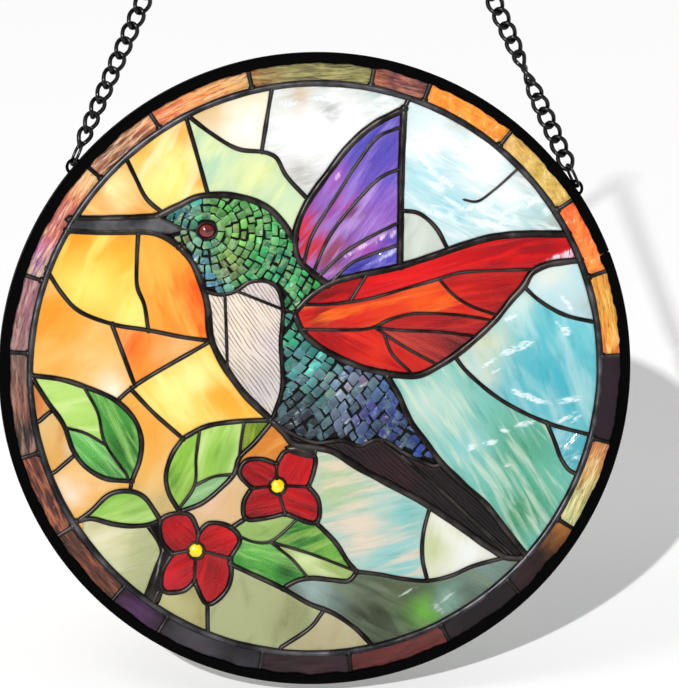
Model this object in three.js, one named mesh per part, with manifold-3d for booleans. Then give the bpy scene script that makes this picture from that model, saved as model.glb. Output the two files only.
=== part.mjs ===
// A round stained glass suncatcher: a black metal rim, a leaded picture of a hummingbird above red
// flowers, and a chain in two runs that meet at a ring. Sizes are in millimetres, Z is up, the picture
// faces -Y, and the origin is the point of the ring that a hook carries.
import * as THREE from 'three';
import { mergeVertices } from 'three/addons/utils/BufferGeometryUtils.js';
import Module from 'manifold-3d';

const wasm = await Module();
wasm.setup();

// Rim
const PANEL_RADIUS = 100;
const RIM_WALL = 1.5;
const RIM_FACE = 3.2;
const RIM_LIP = 1.2;
const RIM_SIDES = 44;
const SEAM_ANGLE = 21.5;
const SEAM_GAP = 0.6;

// Glass and the leading between its pieces
const GLASS_THICKNESS = 3;
const FIT = 0.3;
const BEAD_RISE = 0.7;
const HEART = 0.5;
const BORDER_WIDTH = 9.6;
const RING_WIDTH = 2.6;
const RING_SIDES = 44;
const BOLD_WIDTH = 2.6;
const LEAF_WIDTH = 1.9;
const GROUND_WIDTH = 1.7;
const VEIN_WIDTH = 1;
const BAR_WIDTH = 1.5;
const CHORD_ERROR = 0.6;
const SNAP_SHARE = 0.035;

// Round gems: the yellow hearts of the flowers and the bird's eye
const BUTTON_RADIUS = 2.2;
const EYE_RADIUS = 2.4;
const BEZEL_WALL = 0.6;
const GEM_RISE = 1.4;
const GEM_SHOULDER = 0.7;
const GEM_SIDES = 8;

// Hangers: wire eyelets on the rim, jump rings, chain and the ring at the top
const EYELET_ANGLES = { left: 139.6, right: 34.5 };
const EYELET_WIRE = 1;
const EYELET_HOLE = 1.7;
const EYELET_STEPS = 6;
const JUMP_WIRE = 1;
const JUMP_LENGTH = 8.6;
const JUMP_WIDTH = 5.4;
const JUMP_CORNER = 1.6;
const LINK_WIRE = 1.15;
const LINK_LENGTH = 7.8;
const LINK_WIDTH = 4.8; // mean width of an oval link that is 5.9 at its widest
const LINK_TWIST = 35;
const LINK_TOUCH = 0.1;
const HANG_HEIGHT = 238.6;
const HANG_RING_RADIUS = 5.4;
const HANG_RING_WIRE = 1.8;
const HANG_RING_SIDES = 14;

// Tolerances of the solids, and how far a cut runs past what it cuts
const WELD = 1e-4;
const SIMPLIFY = 0.03;
const OVERCUT = 1;

// Sizes that follow from these
const RING_RADIUS = PANEL_RADIUS - BORDER_WIDTH;
const SNAP_REACH = RING_RADIUS * SNAP_SHARE;
const GLASS_FACE = GLASS_THICKNESS / 2;
const SEAT = GLASS_FACE + FIT;
const BEAD_FACE = SEAT + BEAD_RISE;
const RIM_HALF = SEAT + RIM_LIP;

// The picture's lines run through these points, in hundredths of the ring's radius from its centre,
// x to the right and y up. Ends that meet another line are drawn onto it below.
const BOLD = {
  beakTop: [[-87.4, 53.7], [-73, 53.7], [-55.3, 54.2]],
  beakLow: [[-88.5, 49.2], [-58.6, 49.2], [-47.6, 43.7]],
  crown: [[-55.3, 54.2], [-48.1, 57.5], [-41.5, 60.8], [-34.3, 61.4], [-27.1, 60.8], [-18.3, 57.5],
    [-8.3, 45.4]],
  beakBase: [[-55.3, 54.2], [-52.5, 47]],
  throat: [[-47.6, 43.7], [-40.4, 31.5], [-36.5, 10.5], [-26.5, -6.1], [-16, -17.1]],
  belly: [[-16, -17.1], [-8.3, -26], [5.5, -28.8], [27.7, -41.5], [49.2, -54.8], [66.4, -66.9],
    [74.1, -67.5]],
  back: [[24.3, -1.1], [32.1, -17.7], [44.2, -33.7], [60.3, -49.2], [74.1, -66.9]],
  upperWingLeft: [[30.4, 90.7], [11.1, 78], [-2.8, 59.7], [-7.7, 45.4], [-6.1, 38.7], [3.3, 29.9]],
  upperWingRight: [[30.4, 90.7], [29.9, 70.8], [29.3, 36]],
  redWingTop: [[-8.3, 20.5], [-1.7, 26.5], [11.6, 32.6], [27.7, 35.4], [51.4, 43.1], [73.6, 47],
    [88.5, 46.5]],
  redWingLow: [[-8.3, 20.5], [-0.6, 8.8], [17.1, 0], [36, -2.2], [50.3, 6.1], [68.6, 23.8], [75.8, 33.2],
    [80.8, 36], [94, 37.6]],
};
const LEAF = {
  breast: [[-39.3, 28.2], [-28.2, 28.2], [-17.7, 31.5], [-11.6, 22.7], [-12.7, 10.5], [-12.2, -7.2],
    [-16, -17.1]],
  nape: [[-11.6, 21], [-7.7, 19.9]],
  vent: [[-14.4, -18.8], [0, -25.4], [22.1, -24.3], [42, -34.8]],
  tipLink: [[30.4, 90.7], [32.6, 95.1]],
  leftLeafTop: [[-99.6, -0.6], [-81.3, -4.4], [-63.6, -17.1], [-61.4, -27.7], [-64.7, -38.2]],
  leftLeafLow: [[-99.6, -1.1], [-88.5, -17.7], [-80.8, -33.2], [-64.7, -38.2]],
  midLeafTop: [[-47, -23.2], [-38.7, -19.4], [-16, -17.1]],
  midLeafRight: [[-16, -18.3], [-27.1, -30.4], [-28.8, -36], [-40.4, -46.5], [-48.1, -49.2]],
  midLeafLeft: [[-48.1, -49.2], [-53.1, -37.6], [-47, -23.2]],
  smallLeafTop: [[-84.1, -52], [-72.5, -42.6], [-63.1, -42], [-54.8, -52]],
  smallLeafLow: [[-84.1, -52], [-65.3, -53.7], [-54.8, -52]],
  rightLeafTop: [[0, -53.7], [6.6, -60.8], [13.8, -71.3]],
  rightLeafLink: [[-24.9, -52], [-29.9, -54.8]],
  rightLeafLow: [[13.8, -71.3], [11.1, -74.1], [-1.7, -73], [-12.2, -76.9]],
  stem: [[-31, -67.5], [-12.2, -76.9], [5.5, -85.7], [19.4, -97.3]],
  lowPetal1: [[-50.9, -63.6], [-54.8, -57.5], [-53.7, -50.9], [-45.4, -50.3], [-41.5, -56.4]],
  lowPetal2: [[-41.5, -56.4], [-37.6, -53.1], [-30.4, -54.2], [-27.1, -59.7], [-30.4, -65.8]],
  lowPetal3: [[-30.4, -65.8], [-29.9, -73], [-33.2, -79.1], [-38.7, -81.9], [-43.1, -73.6]],
  lowPetal4: [[-43.1, -73.6], [-47, -76.9], [-54.2, -76.9], [-54.8, -70.2], [-50.9, -63.6]],
  highPetal1: [[-14.4, -32.6], [-10.5, -28.2], [-1.1, -30.4], [-2.8, -40.9]],
  highPetal2: [[-2.8, -40.9], [0.6, -45.9], [0, -53.7], [-11.1, -50.3]],
  highPetal3: [[-11.1, -50.3], [-18.8, -52], [-24.9, -52], [-26, -46.5], [-23.2, -40.9]],
  highPetal4: [[-23.2, -40.9], [-27.1, -36], [-24.9, -31.5], [-14.4, -32.6]],
};
const GROUND = {
  amberYellow: [[-66.4, 75.2], [-60.8, 63.1], [-53.1, 54.8]],
  yellowPale: [[-45.4, 89], [-40.9, 73.6], [-37.6, 60.8]],
  paleTop: [[-45.9, 89.6], [-27.1, 77.4], [-14.4, 74.1], [-2.8, 59.7]],
  creamWhite: [[-15.5, 99], [-19.4, 76.3]],
  greyWing: [[29.3, 55.3], [36, 54.2], [45.9, 41.5]],
  paleAqua: [[73, 28.8], [78, 23.8], [87.4, 18.3], [99, 15.5]],
  aquaTeal: [[48.1, 4.4], [52.5, -1.1], [64.7, -11.6], [81.3, -19.9], [96.8, -24.3]],
  tealChip: [[81.3, -19.9], [86.3, -32.6], [93.5, -38.2]],
  yellowOrange: [[-61.9, 49.2], [-62.5, 29.9], [-58.6, 14.4]],
  amberSweep: [[-94.6, 37.1], [-83, 21.6], [-58.6, 14.4], [-36.5, 10.5]],
  amberOrange: [[-71.3, 16.6], [-63.6, -4.4]],
  orangeYellow: [[-69.7, -10], [-37.1, 10.5]],
  yellowStrip: [[-65.3, -5.5], [-47, -23.2]],
  chipLink: [[-93.5, -13.3], [-97.3, -17.1]],
  edgeLink: [[-84.6, -28.8], [-91.8, -34.8]],
  leafLink: [[-64.7, -38.2], [-65.3, -41.5]],
  flowerLink: [[-48.1, -49.2], [-48.7, -49.8]],
  oliveFoot: [[2.2, -84.6], [-12.7, -97.9]],
  oliveBar: [[-38.7, -81.9], [-38.7, -91.8]],
  hillTop: [[13.8, -71.3], [30.4, -74.1], [47.6, -73], [66.9, -66.9]],
  aquaCream: [[39.8, -48.7], [37.1, -66.4], [39.3, -74.7]],
};
const VEIN = {
  eyeLine: [[-53.7, 50.3], [-46.5, 49.2], [-38.7, 49.2]],
  breastLine: [[-32.1, 26.5], [-31.5, -0.6]],
  breastTop: [[-28.2, 28.2], [-11.6, 21.6]],
  upperWing1: [[28.8, 84.1], [13.3, 70.8], [-5, 36.5]],
  upperWing2: [[29.9, 70.2], [14.4, 59.2], [-1.1, 34.3]],
  upperWing3: [[29.3, 51.4], [8.8, 40.4], [0.6, 32.6]],
  upperWing4: [[29.3, 43.7], [4.4, 30.4]],
  redWing1: [[-4.4, 23.2], [17.7, 24.9], [49.8, 33.2], [77.4, 34.3]],
  redWing2: [[11.6, 23.8], [17.7, 33.2]],
  redWing3: [[43.1, 31], [63.6, 18.3]],
  redWing4: [[-5.5, 14.4], [18.8, 14.4], [33.2, 19.4], [62.5, 16.6]],
  redWing5: [[19.9, 14.9], [57, 11.1]],
  redWing6: [[20.5, 14.4], [42.6, 1.1]],
  redWing7: [[23.8, 12.2], [33.7, -1.7]],
  tail1: [[22.1, -24.9], [66.9, -65.8]],
  tail2: [[29.9, -30.4], [69.1, -66.4]],
  leftLeaf1: [[-81.3, -4.4], [-74.1, -23.8], [-65.8, -37.1]],
  leftLeaf2: [[-87.9, -18.8], [-73.6, -25.4]],
  midLeaf1: [[-40.9, -20.5], [-43.1, -39.8], [-48.7, -48.1]],
  midLeaf2: [[-43.1, -39.8], [-28.8, -36]],
  midLeaf3: [[-25.4, -17.7], [-27.1, -30.4]],
  rightLeaf1: [[-27.7, -57], [-16.6, -60.3], [-6.6, -52]],
  rightLeaf2: [[-16.6, -60.3], [13.3, -70.8]],
  rightLeaf3: [[-16.6, -60.3], [-3.3, -73]],
  skyCrack: [[71.3, 70.2], [55.9, 58.6], [50.9, 59.2]],
};
// Pools of solder that fill a narrow corner between lines
const POOLS = [
  [[-60.3, -53.7], [-54.8, -52.2], [-54.8, -57.5], [-50.9, -63.6], [-54.8, -70.2], [-54.2, -76.9],
    [-57.5, -82.4], [-63.1, -78], [-55.9, -62.5]],
  [[-11.6, -22.7], [-0.6, -27.1], [-1.1, -30.4], [-5.5, -28.2], [-10.5, -28.2]],
];
const LOW_FLOWER_HEART = [-42.6, -62.5];
const HIGH_FLOWER_HEART = [-13.8, -40.4];
const LOW_FLOWER_NOTCHES = [[-41.5, -56.4], [-30.4, -65.8], [-43.1, -73.6], [-50.9, -63.6]];
const HIGH_FLOWER_NOTCHES = [[-14.4, -32.6], [-2.8, -40.9], [-11.1, -50.3], [-23.2, -40.9]];
const EYE = [-38.7, 49.2];
const BORDER_ANGLES = [102.9, 79.2, 68.2, 50.5, 33.1, 18.2, 2, -14.6, -32.3, -48.1, -64.1, -83.6,
  -100.9, -121.4, -132, -147.9, -164.1, 175.9, 161.3, 138, 122.8];

// Each pane by a point that lies on it, with its colour
const PANES = {
  amber_upper_left: [[-68.6, 63.1], '#f5c56a'],
  yellow_upper_left: [[-52, 70.8], '#f4dc78'],
  pale_green_crown: [[-24.3, 68.6], '#c4ddb4'],
  cream_top: [[-29.9, 88.5], '#e4dcc0'],
  white_top: [[4.4, 85.2], '#dfe8e4'],
  white_upper_right: [[60.8, 66.4], '#d8e8e8'],
  grey_green_wing: [[34.3, 46.5], '#c6d0c2'],
  yellow_left: [[-75.2, 35.4], '#f6c840'],
  orange_throat: [[-50.9, 28.8], '#f39a35'],
  amber_left: [[-81.9, 6.6], '#f4b860'],
  orange_small: [[-58.6, 5.5], '#ee8a2c'],
  yellow_middle: [[-42, -5.5], '#f3cf62'],
  amber_strip: [[-57.5, -27.7], '#eeb868'],
  amber_chip: [[-96, -10.5], '#c98a3c'],
  amber_edge: [[-89.6, -24.3], '#d6a458'],
  cream_under_leaf: [[-80.8, -40.9], '#ecc690'],
  pale_lower_left: [[-67.5, -63.1], '#ccd0a6'],
  olive_lower_left: [[-45.4, -82.4], '#b4ae72'],
  olive_bottom: [[-17.7, -87.4], '#b0b480'],
  olive_foot: [[3.3, -92.9], '#aeaa80'],
  peach_flower: [[-33.2, -48.7], '#ecd0a4'],
  orange_flower: [[-18.8, -26.5], '#e0903a'],
  aqua_lower: [[17.7, -55.3], '#a8d4c4'],
  cream_lower_right: [[46.5, -63.1], '#e8ead6'],
  hill_bottom: [[27.7, -83], '#647a68'],
  teal_right: [[66.4, -29.9], '#7cc8bc'],
  aqua_right: [[77.4, 2.2], '#7ed0d8'],
  aqua_chip: [[92.4, -28.8], '#5cb8c4'],
  pale_aqua_right: [[88.5, 27.7], '#c8e4e6'],
  upper_wing: [[18.8, 73], '#7060c0'],
  red_wing: [[55.3, 36.5], '#cc1a22'],
  beak: [[-66.4, 51.5], '#45484a'],
  head_mosaic: [[-24.3, 46.5], '#3c9460'],
  breast: [[-22.1, 13.3], '#e6dcd4'],
  body_mosaic: [[8.8, -13.3], '#4c8a8a'],
  tail: [[17.7, -31], '#3c1c24'],
  leaf_left: [[-77.4, -16.6], '#6cb04a'],
  leaf_middle: [[-35.4, -29.9], '#96bc4a'],
  leaf_small: [[-68.6, -48.1], '#86b848'],
  leaf_right: [[-11.1, -64.2], '#5ea048'],
  flower_low: [[-48.7, -56.4], '#b0101e'],
  flower_high: [[-6.6, -35.4], '#b4141e'],
};

const METAL = { color: '#262628', roughness: 0.45, metalness: 0.8 };
const LEAD = { color: '#34312f', roughness: 0.4, metalness: 0.85 };

// One named part, with its own material
function part(name, geometry, { color, roughness, metalness = 0, opacity = 1 }) {
  const material = new THREE.MeshStandardMaterial({
    color, roughness, metalness, opacity, transparent: opacity < 1, flatShading: true,
  });
  const mesh = new THREE.Mesh(geometry, material);
  mesh.name = name;
  return mesh;
}

// A closed geometry as a solid for joining and cutting
function solid(geometry) {
  const bare = geometry.clone();
  bare.deleteAttribute('normal');
  bare.deleteAttribute('uv');
  const merged = mergeVertices(bare, WELD);
  return new wasm.Manifold(new wasm.Mesh({
    numProp: 3,
    vertProperties: Float32Array.from(merged.attributes.position.array),
    triVerts: Uint32Array.from(merged.index.array),
  }));
}

// A solid back as a geometry, without the needless corners that cuts leave in its flat faces
function geometryOf(body) {
  const mesh = body.asOriginal().simplify(SIMPLIFY).getMesh();
  const geometry = new THREE.BufferGeometry();
  geometry.setAttribute('position', new THREE.BufferAttribute(mesh.vertProperties, 3));
  geometry.setIndex(new THREE.BufferAttribute(mesh.triVerts, 1));
  return geometry;
}

const joined = (bodies) => bodies.reduce((all, body) => all.add(body));

// A flat outline, with any holes, made solid from one depth to another
function prism(outline, holes, from, to) {
  const shape = new THREE.Shape(outline);
  shape.holes = holes.map((hole) => new THREE.Path(hole));
  const geometry = new THREE.ExtrudeGeometry(shape, { depth: to - from, bevelEnabled: false });
  return solid(geometry.translate(0, 0, from));
}

// A profile of [radius, depth] points turned round the panel's axis
function turned(profile, sides) {
  const points = [...profile, profile[0]].map(([radius, depth]) => new THREE.Vector2(radius, depth));
  return solid(new THREE.LatheGeometry(points, sides).rotateX(Math.PI / 2));
}

function circle([x, y], radius, sides) {
  return Array.from({ length: sides }, (_, i) => {
    const angle = (2 * Math.PI * i) / sides;
    return new THREE.Vector2(x + radius * Math.cos(angle), y + radius * Math.sin(angle));
  });
}

const disc = (centre, radius, sides, from, to) => prism(circle(centre, radius, sides), [], from, to);
const scaled = ([x, y]) => new THREE.Vector2((x * RING_RADIUS) / 100, (y * RING_RADIUS) / 100);
const polar = (radius, degrees) => new THREE.Vector2(
  radius * Math.cos(THREE.MathUtils.degToRad(degrees)), radius * Math.sin(THREE.MathUtils.degToRad(degrees)));

// Drops the points that a run of straight steps doesn't need
function thinned(points) {
  if (points.length < 3) return points;
  const [first, last] = [points[0], points.at(-1)];
  const chord = new THREE.Line3(new THREE.Vector3(first.x, first.y), new THREE.Vector3(last.x, last.y));
  const gap = points.map((p) => {
    const at = new THREE.Vector3(p.x, p.y);
    return chord.closestPointToPoint(at, true, new THREE.Vector3()).distanceTo(at);
  });
  const worst = gap.indexOf(Math.max(...gap));
  if (gap[worst] < CHORD_ERROR) return [first, last];
  return [...thinned(points.slice(0, worst + 1)).slice(0, -1), ...thinned(points.slice(worst))];
}

// A smooth line through the given points, as few straight steps
function smooth(points) {
  const through = points.map(scaled).map((p) => new THREE.Vector3(p.x, p.y, 0));
  const curve = new THREE.CatmullRomCurve3(through, false, 'centripetal');
  return thinned(curve.getPoints(12 * through.length).map((p) => new THREE.Vector2(p.x, p.y)));
}

const lines = [
  [BOLD, BOLD_WIDTH, true], [LEAF, LEAF_WIDTH, true], [GROUND, GROUND_WIDTH, true], [VEIN, VEIN_WIDTH, false],
].flatMap(([group, width, through]) => Object.entries(group).map(([name, points]) => (
  { name, width, through, points: smooth(points) })));

// The nearest place to a point on any line that runs through the glass, or on the ring
function nearestLine(point, self) {
  const best = { distance: SNAP_REACH, place: point };
  const offer = (place) => {
    const distance = place.distanceTo(point);
    if (distance < best.distance) Object.assign(best, { distance, place });
  };
  offer(point.clone().setLength(RING_RADIUS));
  lines.filter((line) => line !== self && line.through).forEach((line) => {
    line.points.forEach((a, i) => {
      const b = line.points[i + 1] ?? a;
      const along = b.clone().sub(a);
      const share = along.lengthSq() ? point.clone().sub(a).dot(along) / along.lengthSq() : 0;
      offer(a.clone().addScaledVector(along, THREE.MathUtils.clamp(share, 0, 1)));
    });
  });
  return best.place;
}

// Ends that stop at another line are drawn onto it, the bold lines first
for (const line of lines) {
  line.points[0] = nearestLine(line.points[0], line);
  line.points[line.points.length - 1] = nearestLine(line.points.at(-1), line);
}

// A strip of even width along a line, square at its ends, with sharp corners
function ribbon(points, width, from, to) {
  const last = points.length - 1;
  const side = (sign) => points.map((p, i) => {
    const into = p.clone().sub(points[i - 1] ?? p);
    const out = (points[i + 1] ?? p).clone().sub(p);
    const middle = into.clone().normalize().add(out.clone().normalize()).normalize();
    const reach = i === 0 || i === last ? 1 : Math.min(1 / middle.dot(out.normalize()), 1.6);
    const end = (i === last) - (i === 0);
    return p.clone().addScaledVector(new THREE.Vector2(-middle.y, middle.x), (reach * width * sign) / 2)
      .addScaledVector(middle, (end * width) / 3);
  });
  return prism([...side(1), ...side(-1).reverse()], [], from, to);
}

// An outline with every side moved outward by a margin
function grown(outline, margin) {
  const turn = Math.sign(THREE.ShapeUtils.area(outline));
  const normal = (a, b) => new THREE.Vector2(b.y - a.y, a.x - b.x).normalize().multiplyScalar(turn);
  return outline.map((p, i) => {
    const [into, out] = [normal(outline.at(i - 1), p), normal(p, outline[(i + 1) % outline.length])];
    const middle = into.clone().add(out).normalize();
    return p.clone().addScaledVector(middle, Math.min(margin / middle.dot(out), 2 * margin));
  });
}

// The black rim: a channel that grips the border glass, bent from one strip whose ends meet at a seam
function makeRim() {
  const inner = PANEL_RADIUS - RIM_FACE;
  const groove = PANEL_RADIUS - RIM_WALL;
  let body = turned([
    [inner, -RIM_HALF], [PANEL_RADIUS, -RIM_HALF], [PANEL_RADIUS, RIM_HALF], [inner, RIM_HALF],
    [inner, SEAT], [groove, SEAT], [groove, -SEAT], [inner, -SEAT]], RIM_SIDES);
  for (const angle of Object.values(EYELET_ANGLES)) body = body.add(makeEyelet(angle));
  const across = [polar(inner - OVERCUT, SEAM_ANGLE), polar(PANEL_RADIUS + OVERCUT, SEAM_ANGLE)];
  return body.subtract(ribbon(across, SEAM_GAP, -RIM_HALF - OVERCUT, RIM_HALF + OVERCUT));
}

// A half ring of wire that stands on the rim, with its feet set in the wall
function makeEyelet(angle) {
  const foot = EYELET_HOLE + EYELET_WIRE;
  const arc = (radius) => Array.from({ length: EYELET_STEPS + 1 }, (_, i) => (
    polar(radius, (180 * i) / EYELET_STEPS)));
  const sunk = RIM_WALL / 2;
  const outline = [new THREE.Vector2(foot, -sunk), ...arc(foot), new THREE.Vector2(-foot, -sunk),
    new THREE.Vector2(-EYELET_HOLE, -sunk), ...arc(EYELET_HOLE).reverse(),
    new THREE.Vector2(EYELET_HOLE, -sunk)];
  return prism(outline, [], -EYELET_WIRE / 2, EYELET_WIRE / 2)
    .translate([0, PANEL_RADIUS, 0]).rotate([0, 0, angle - 90]);
}

// A cup of solder that holds a round gem from behind
function makeBezel(centre, radius) {
  const bore = radius + FIT;
  return disc(centre, bore + BEZEL_WALL, GEM_SIDES, -BEAD_FACE, BEAD_FACE)
    .subtract(disc(centre, bore, GEM_SIDES, -SEAT, BEAD_FACE + OVERCUT));
}

// A round gem with a flat back and a domed face
function makeGem([x, y], radius) {
  const profile = [[0, -GLASS_FACE], [radius, -GLASS_FACE], [radius, BEAD_FACE],
    [radius * GEM_SHOULDER, BEAD_FACE + GEM_RISE * GEM_SHOULDER], [0, BEAD_FACE + GEM_RISE]]
    .map(([r, depth]) => new THREE.Vector2(r, depth));
  return solid(new THREE.LatheGeometry(profile, GEM_SIDES).rotateX(Math.PI / 2).rotateZ(Math.PI / GEM_SIDES))
    .translate([x, y, 0]);
}

const gems = [
  ['flower_button_low', LOW_FLOWER_HEART, BUTTON_RADIUS, '#f2d210'],
  ['flower_button_high', HIGH_FLOWER_HEART, BUTTON_RADIUS, '#f2d210'],
  ['eye', EYE, EYE_RADIUS, '#6a1414'],
].map(([name, place, radius, color]) => ({ name, place: scaled(place).toArray(), radius, color }));

const flowerVeins = [[LOW_FLOWER_HEART, LOW_FLOWER_NOTCHES], [HIGH_FLOWER_HEART, HIGH_FLOWER_NOTCHES]]
  .flatMap(([heart, notches]) => notches.map((notch) => [scaled(notch), scaled(heart)]));

const borderInner = RING_RADIUS + HEART / 2 + FIT;
const borderOuter = PANEL_RADIUS - RIM_WALL - FIT;
const barReach = PANEL_RADIUS - RIM_FACE - FIT;

// The leading: an H-shaped ring, the picture's lines, veins laid on the glass, and the gems' cups
function makeLeading() {
  const half = RING_WIDTH / 2;
  const ring = turned([
    [RING_RADIUS - half, -BEAD_FACE], [RING_RADIUS + half, -BEAD_FACE], [RING_RADIUS + half, -SEAT],
    [RING_RADIUS + HEART / 2, -SEAT], [RING_RADIUS + HEART / 2, SEAT], [RING_RADIUS + half, SEAT],
    [RING_RADIUS + half, BEAD_FACE], [RING_RADIUS - half, BEAD_FACE], [RING_RADIUS - half, SEAT],
    [RING_RADIUS - HEART / 2, SEAT], [RING_RADIUS - HEART / 2, -SEAT], [RING_RADIUS - half, -SEAT]],
  RING_SIDES);
  const through = joined(lines.filter((line) => line.through)
    .map((line) => ribbon(line.points, line.width, -BEAD_FACE, BEAD_FACE))
    .concat(POOLS.map((pool) => prism(pool.map(scaled), [], -BEAD_FACE, BEAD_FACE))))
    .intersect(disc([0, 0], RING_RADIUS + HEART / 2, RING_SIDES, -BEAD_FACE, BEAD_FACE));
  const laid = [...lines.filter((line) => !line.through).map((line) => line.points), ...flowerVeins]
    .map((points) => ribbon(points, VEIN_WIDTH, SEAT, BEAD_FACE));
  const bars = BORDER_ANGLES.map((angle) => ribbon(
    [polar(RING_RADIUS, angle), polar(barReach - BAR_WIDTH / 3, angle)], BAR_WIDTH, SEAT, BEAD_FACE));
  const cups = gems.map(({ place, radius }) => makeBezel(place, radius));
  const bores = gems.map(({ place, radius }) => (
    disc(place, radius + FIT, GEM_SIDES, -SEAT, BEAD_FACE + OVERCUT)));
  const cast = joined([ring, through, ...laid, ...bars, ...cups]).subtract(joined(bores));
  // Solder fills the pockets of the ring's groove that crowded lines close off
  return joined(cast.decompose().filter((shell) => shell.volume() > 0));
}

// All panes inside the ring, cut apart along the lines
function cutPanes() {
  const reach = RING_RADIUS - HEART / 2 - FIT;
  const sheet = disc([0, 0], reach, RING_SIDES, -GLASS_FACE, GLASS_FACE);
  const depth = [-GLASS_FACE - OVERCUT, GLASS_FACE + OVERCUT];
  const kerfs = lines.filter((line) => line.through)
    .map((line) => ribbon(line.points, line.width + 2 * FIT, ...depth));
  const pools = POOLS.map((pool) => prism(grown(pool.map(scaled), FIT), [], ...depth));
  const cups = gems.map(({ place, radius }) => (
    disc(place, radius + BEZEL_WALL + 2 * FIT, GEM_SIDES, ...depth)));
  return sheet.subtract(joined([...kerfs, ...pools, ...cups])).decompose();
}

// A flat closed link of square wire, its corners cut off if wanted, its middle at a height and turned
// about the run
function makeLink(length, width, wire, height, twist, corner = 0) {
  const frame = (inset) => {
    const [x, y] = [width / 2 - inset, length / 2 - inset];
    const cut = corner - inset * (2 - Math.SQRT2);
    const quarter = corner ? [[x, y - cut], [x - cut, y]] : [[x, y]];
    const half = [...quarter, ...quarter.toReversed().map(([a, b]) => [-a, b])];
    return [...half, ...half.map(([a, b]) => [-a, -b])].map(([a, b]) => new THREE.Vector2(a, b));
  };
  return prism(frame(0), [frame(wire)], -wire / 2, wire / 2).rotate([0, twist, 0]).translate([0, height, 0]);
}

// One run of chain, from the eyelet up to the top ring: a jump ring, the links and a second jump ring
function makeRun(side, group) {
  const foot = polar(PANEL_RADIUS + EYELET_HOLE / 2, EYELET_ANGLES[side]);
  const hookUp = HANG_RING_RADIUS - (HANG_RING_WIRE + JUMP_WIRE) / 2 - FIT;
  const rise = new THREE.Vector2(0, HANG_HEIGHT).sub(foot);
  const reach = rise.length() - hookUp;
  const run = new THREE.Group();
  run.position.set(foot.x, foot.y, 0);
  run.rotation.z = rise.angle() - Math.PI / 2;
  group.add(run);

  const jumpPitch = JUMP_LENGTH - JUMP_WIRE;
  const hold = (JUMP_WIRE + LINK_WIRE) / 2 + FIT;
  const lap = LINK_WIRE - LINK_TOUCH;
  const chainReach = reach - 2 * jumpPitch + 2 * hold;
  const count = Math.round((chainReach - lap) / (LINK_LENGTH - LINK_WIRE - lap));
  const linkPitch = (chainReach - lap) / count;
  const jump = (height) => geometryOf(makeLink(JUMP_LENGTH, JUMP_WIDTH, JUMP_WIRE, height, 90, JUMP_CORNER));
  const links = Array.from({ length: count }, (_, i) => makeLink(
    linkPitch + lap + LINK_WIRE, LINK_WIDTH, LINK_WIRE,
    jumpPitch - hold + linkPitch * i + (linkPitch + lap) / 2, i % 2 ? LINK_TWIST : -LINK_TWIST));
  run.add(part(`jump_ring_${side}`, jump(jumpPitch / 2), METAL));
  run.add(part(`chain_${side}`, geometryOf(joined(links)), METAL));
  run.add(part(`top_jump_ring_${side}`, jump(reach - jumpPitch / 2), METAL));
}

// The ring at the top, which a hook passes through from front to back
function makeTopRing() {
  const half = HANG_RING_WIRE / 2;
  return turned([[HANG_RING_RADIUS - half, -half], [HANG_RING_RADIUS + half, -half],
    [HANG_RING_RADIUS + half, half], [HANG_RING_RADIUS - half, half]], HANG_RING_SIDES)
    .translate([0, HANG_HEIGHT, 0]);
}

// The picture is drawn with y up, then stood upright with the hanging point at the origin
const suncatcher = new THREE.Group();
suncatcher.rotation.x = Math.PI / 2;
suncatcher.position.z = -(HANG_HEIGHT + HANG_RING_RADIUS - HANG_RING_WIRE / 2);

suncatcher.add(part('rim', geometryOf(makeRim()), METAL));
suncatcher.add(part('leading', geometryOf(makeLeading()), LEAD));
const border = turned([[borderInner, -GLASS_FACE], [borderOuter, -GLASS_FACE], [borderOuter, GLASS_FACE],
  [borderInner, GLASS_FACE]], RIM_SIDES);
suncatcher.add(part('border_glass', geometryOf(border), { color: '#96502c', roughness: 0.3, opacity: 0.9 }));

const panes = cutPanes();
for (const [name, [seed, color]] of Object.entries(PANES)) {
  const at = scaled(seed);
  const probe = disc([at.x, at.y], 0.2, 4, -0.2, 0.2);
  const pane = panes.find((piece) => piece.intersect(probe).volume() > 0.01);
  const glass = { color, roughness: 0.2, opacity: 0.85 };
  const look = name === 'beak' ? { color, roughness: 0.4, metalness: 0.6 } : glass;
  suncatcher.add(part(name, geometryOf(pane), look));
}
for (const { name, place, radius, color } of gems) {
  suncatcher.add(part(name, geometryOf(makeGem(place, radius)), { color, roughness: 0.15 }));
}
makeRun('left', suncatcher);
makeRun('right', suncatcher);
suncatcher.add(part('hanging_ring', geometryOf(makeTopRing()), METAL));

export default suncatcher;
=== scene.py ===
"""Looks of a round stained glass suncatcher: rim, leading, art glass, mosaic, gems and chain.

Panel coordinates are millimetres from the panel's centre: x right, y up, depth towards the viewer.
"""
import logging
import math
from dataclasses import dataclass, field
from enum import Enum
from typing import Any, Iterable, Sequence

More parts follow.
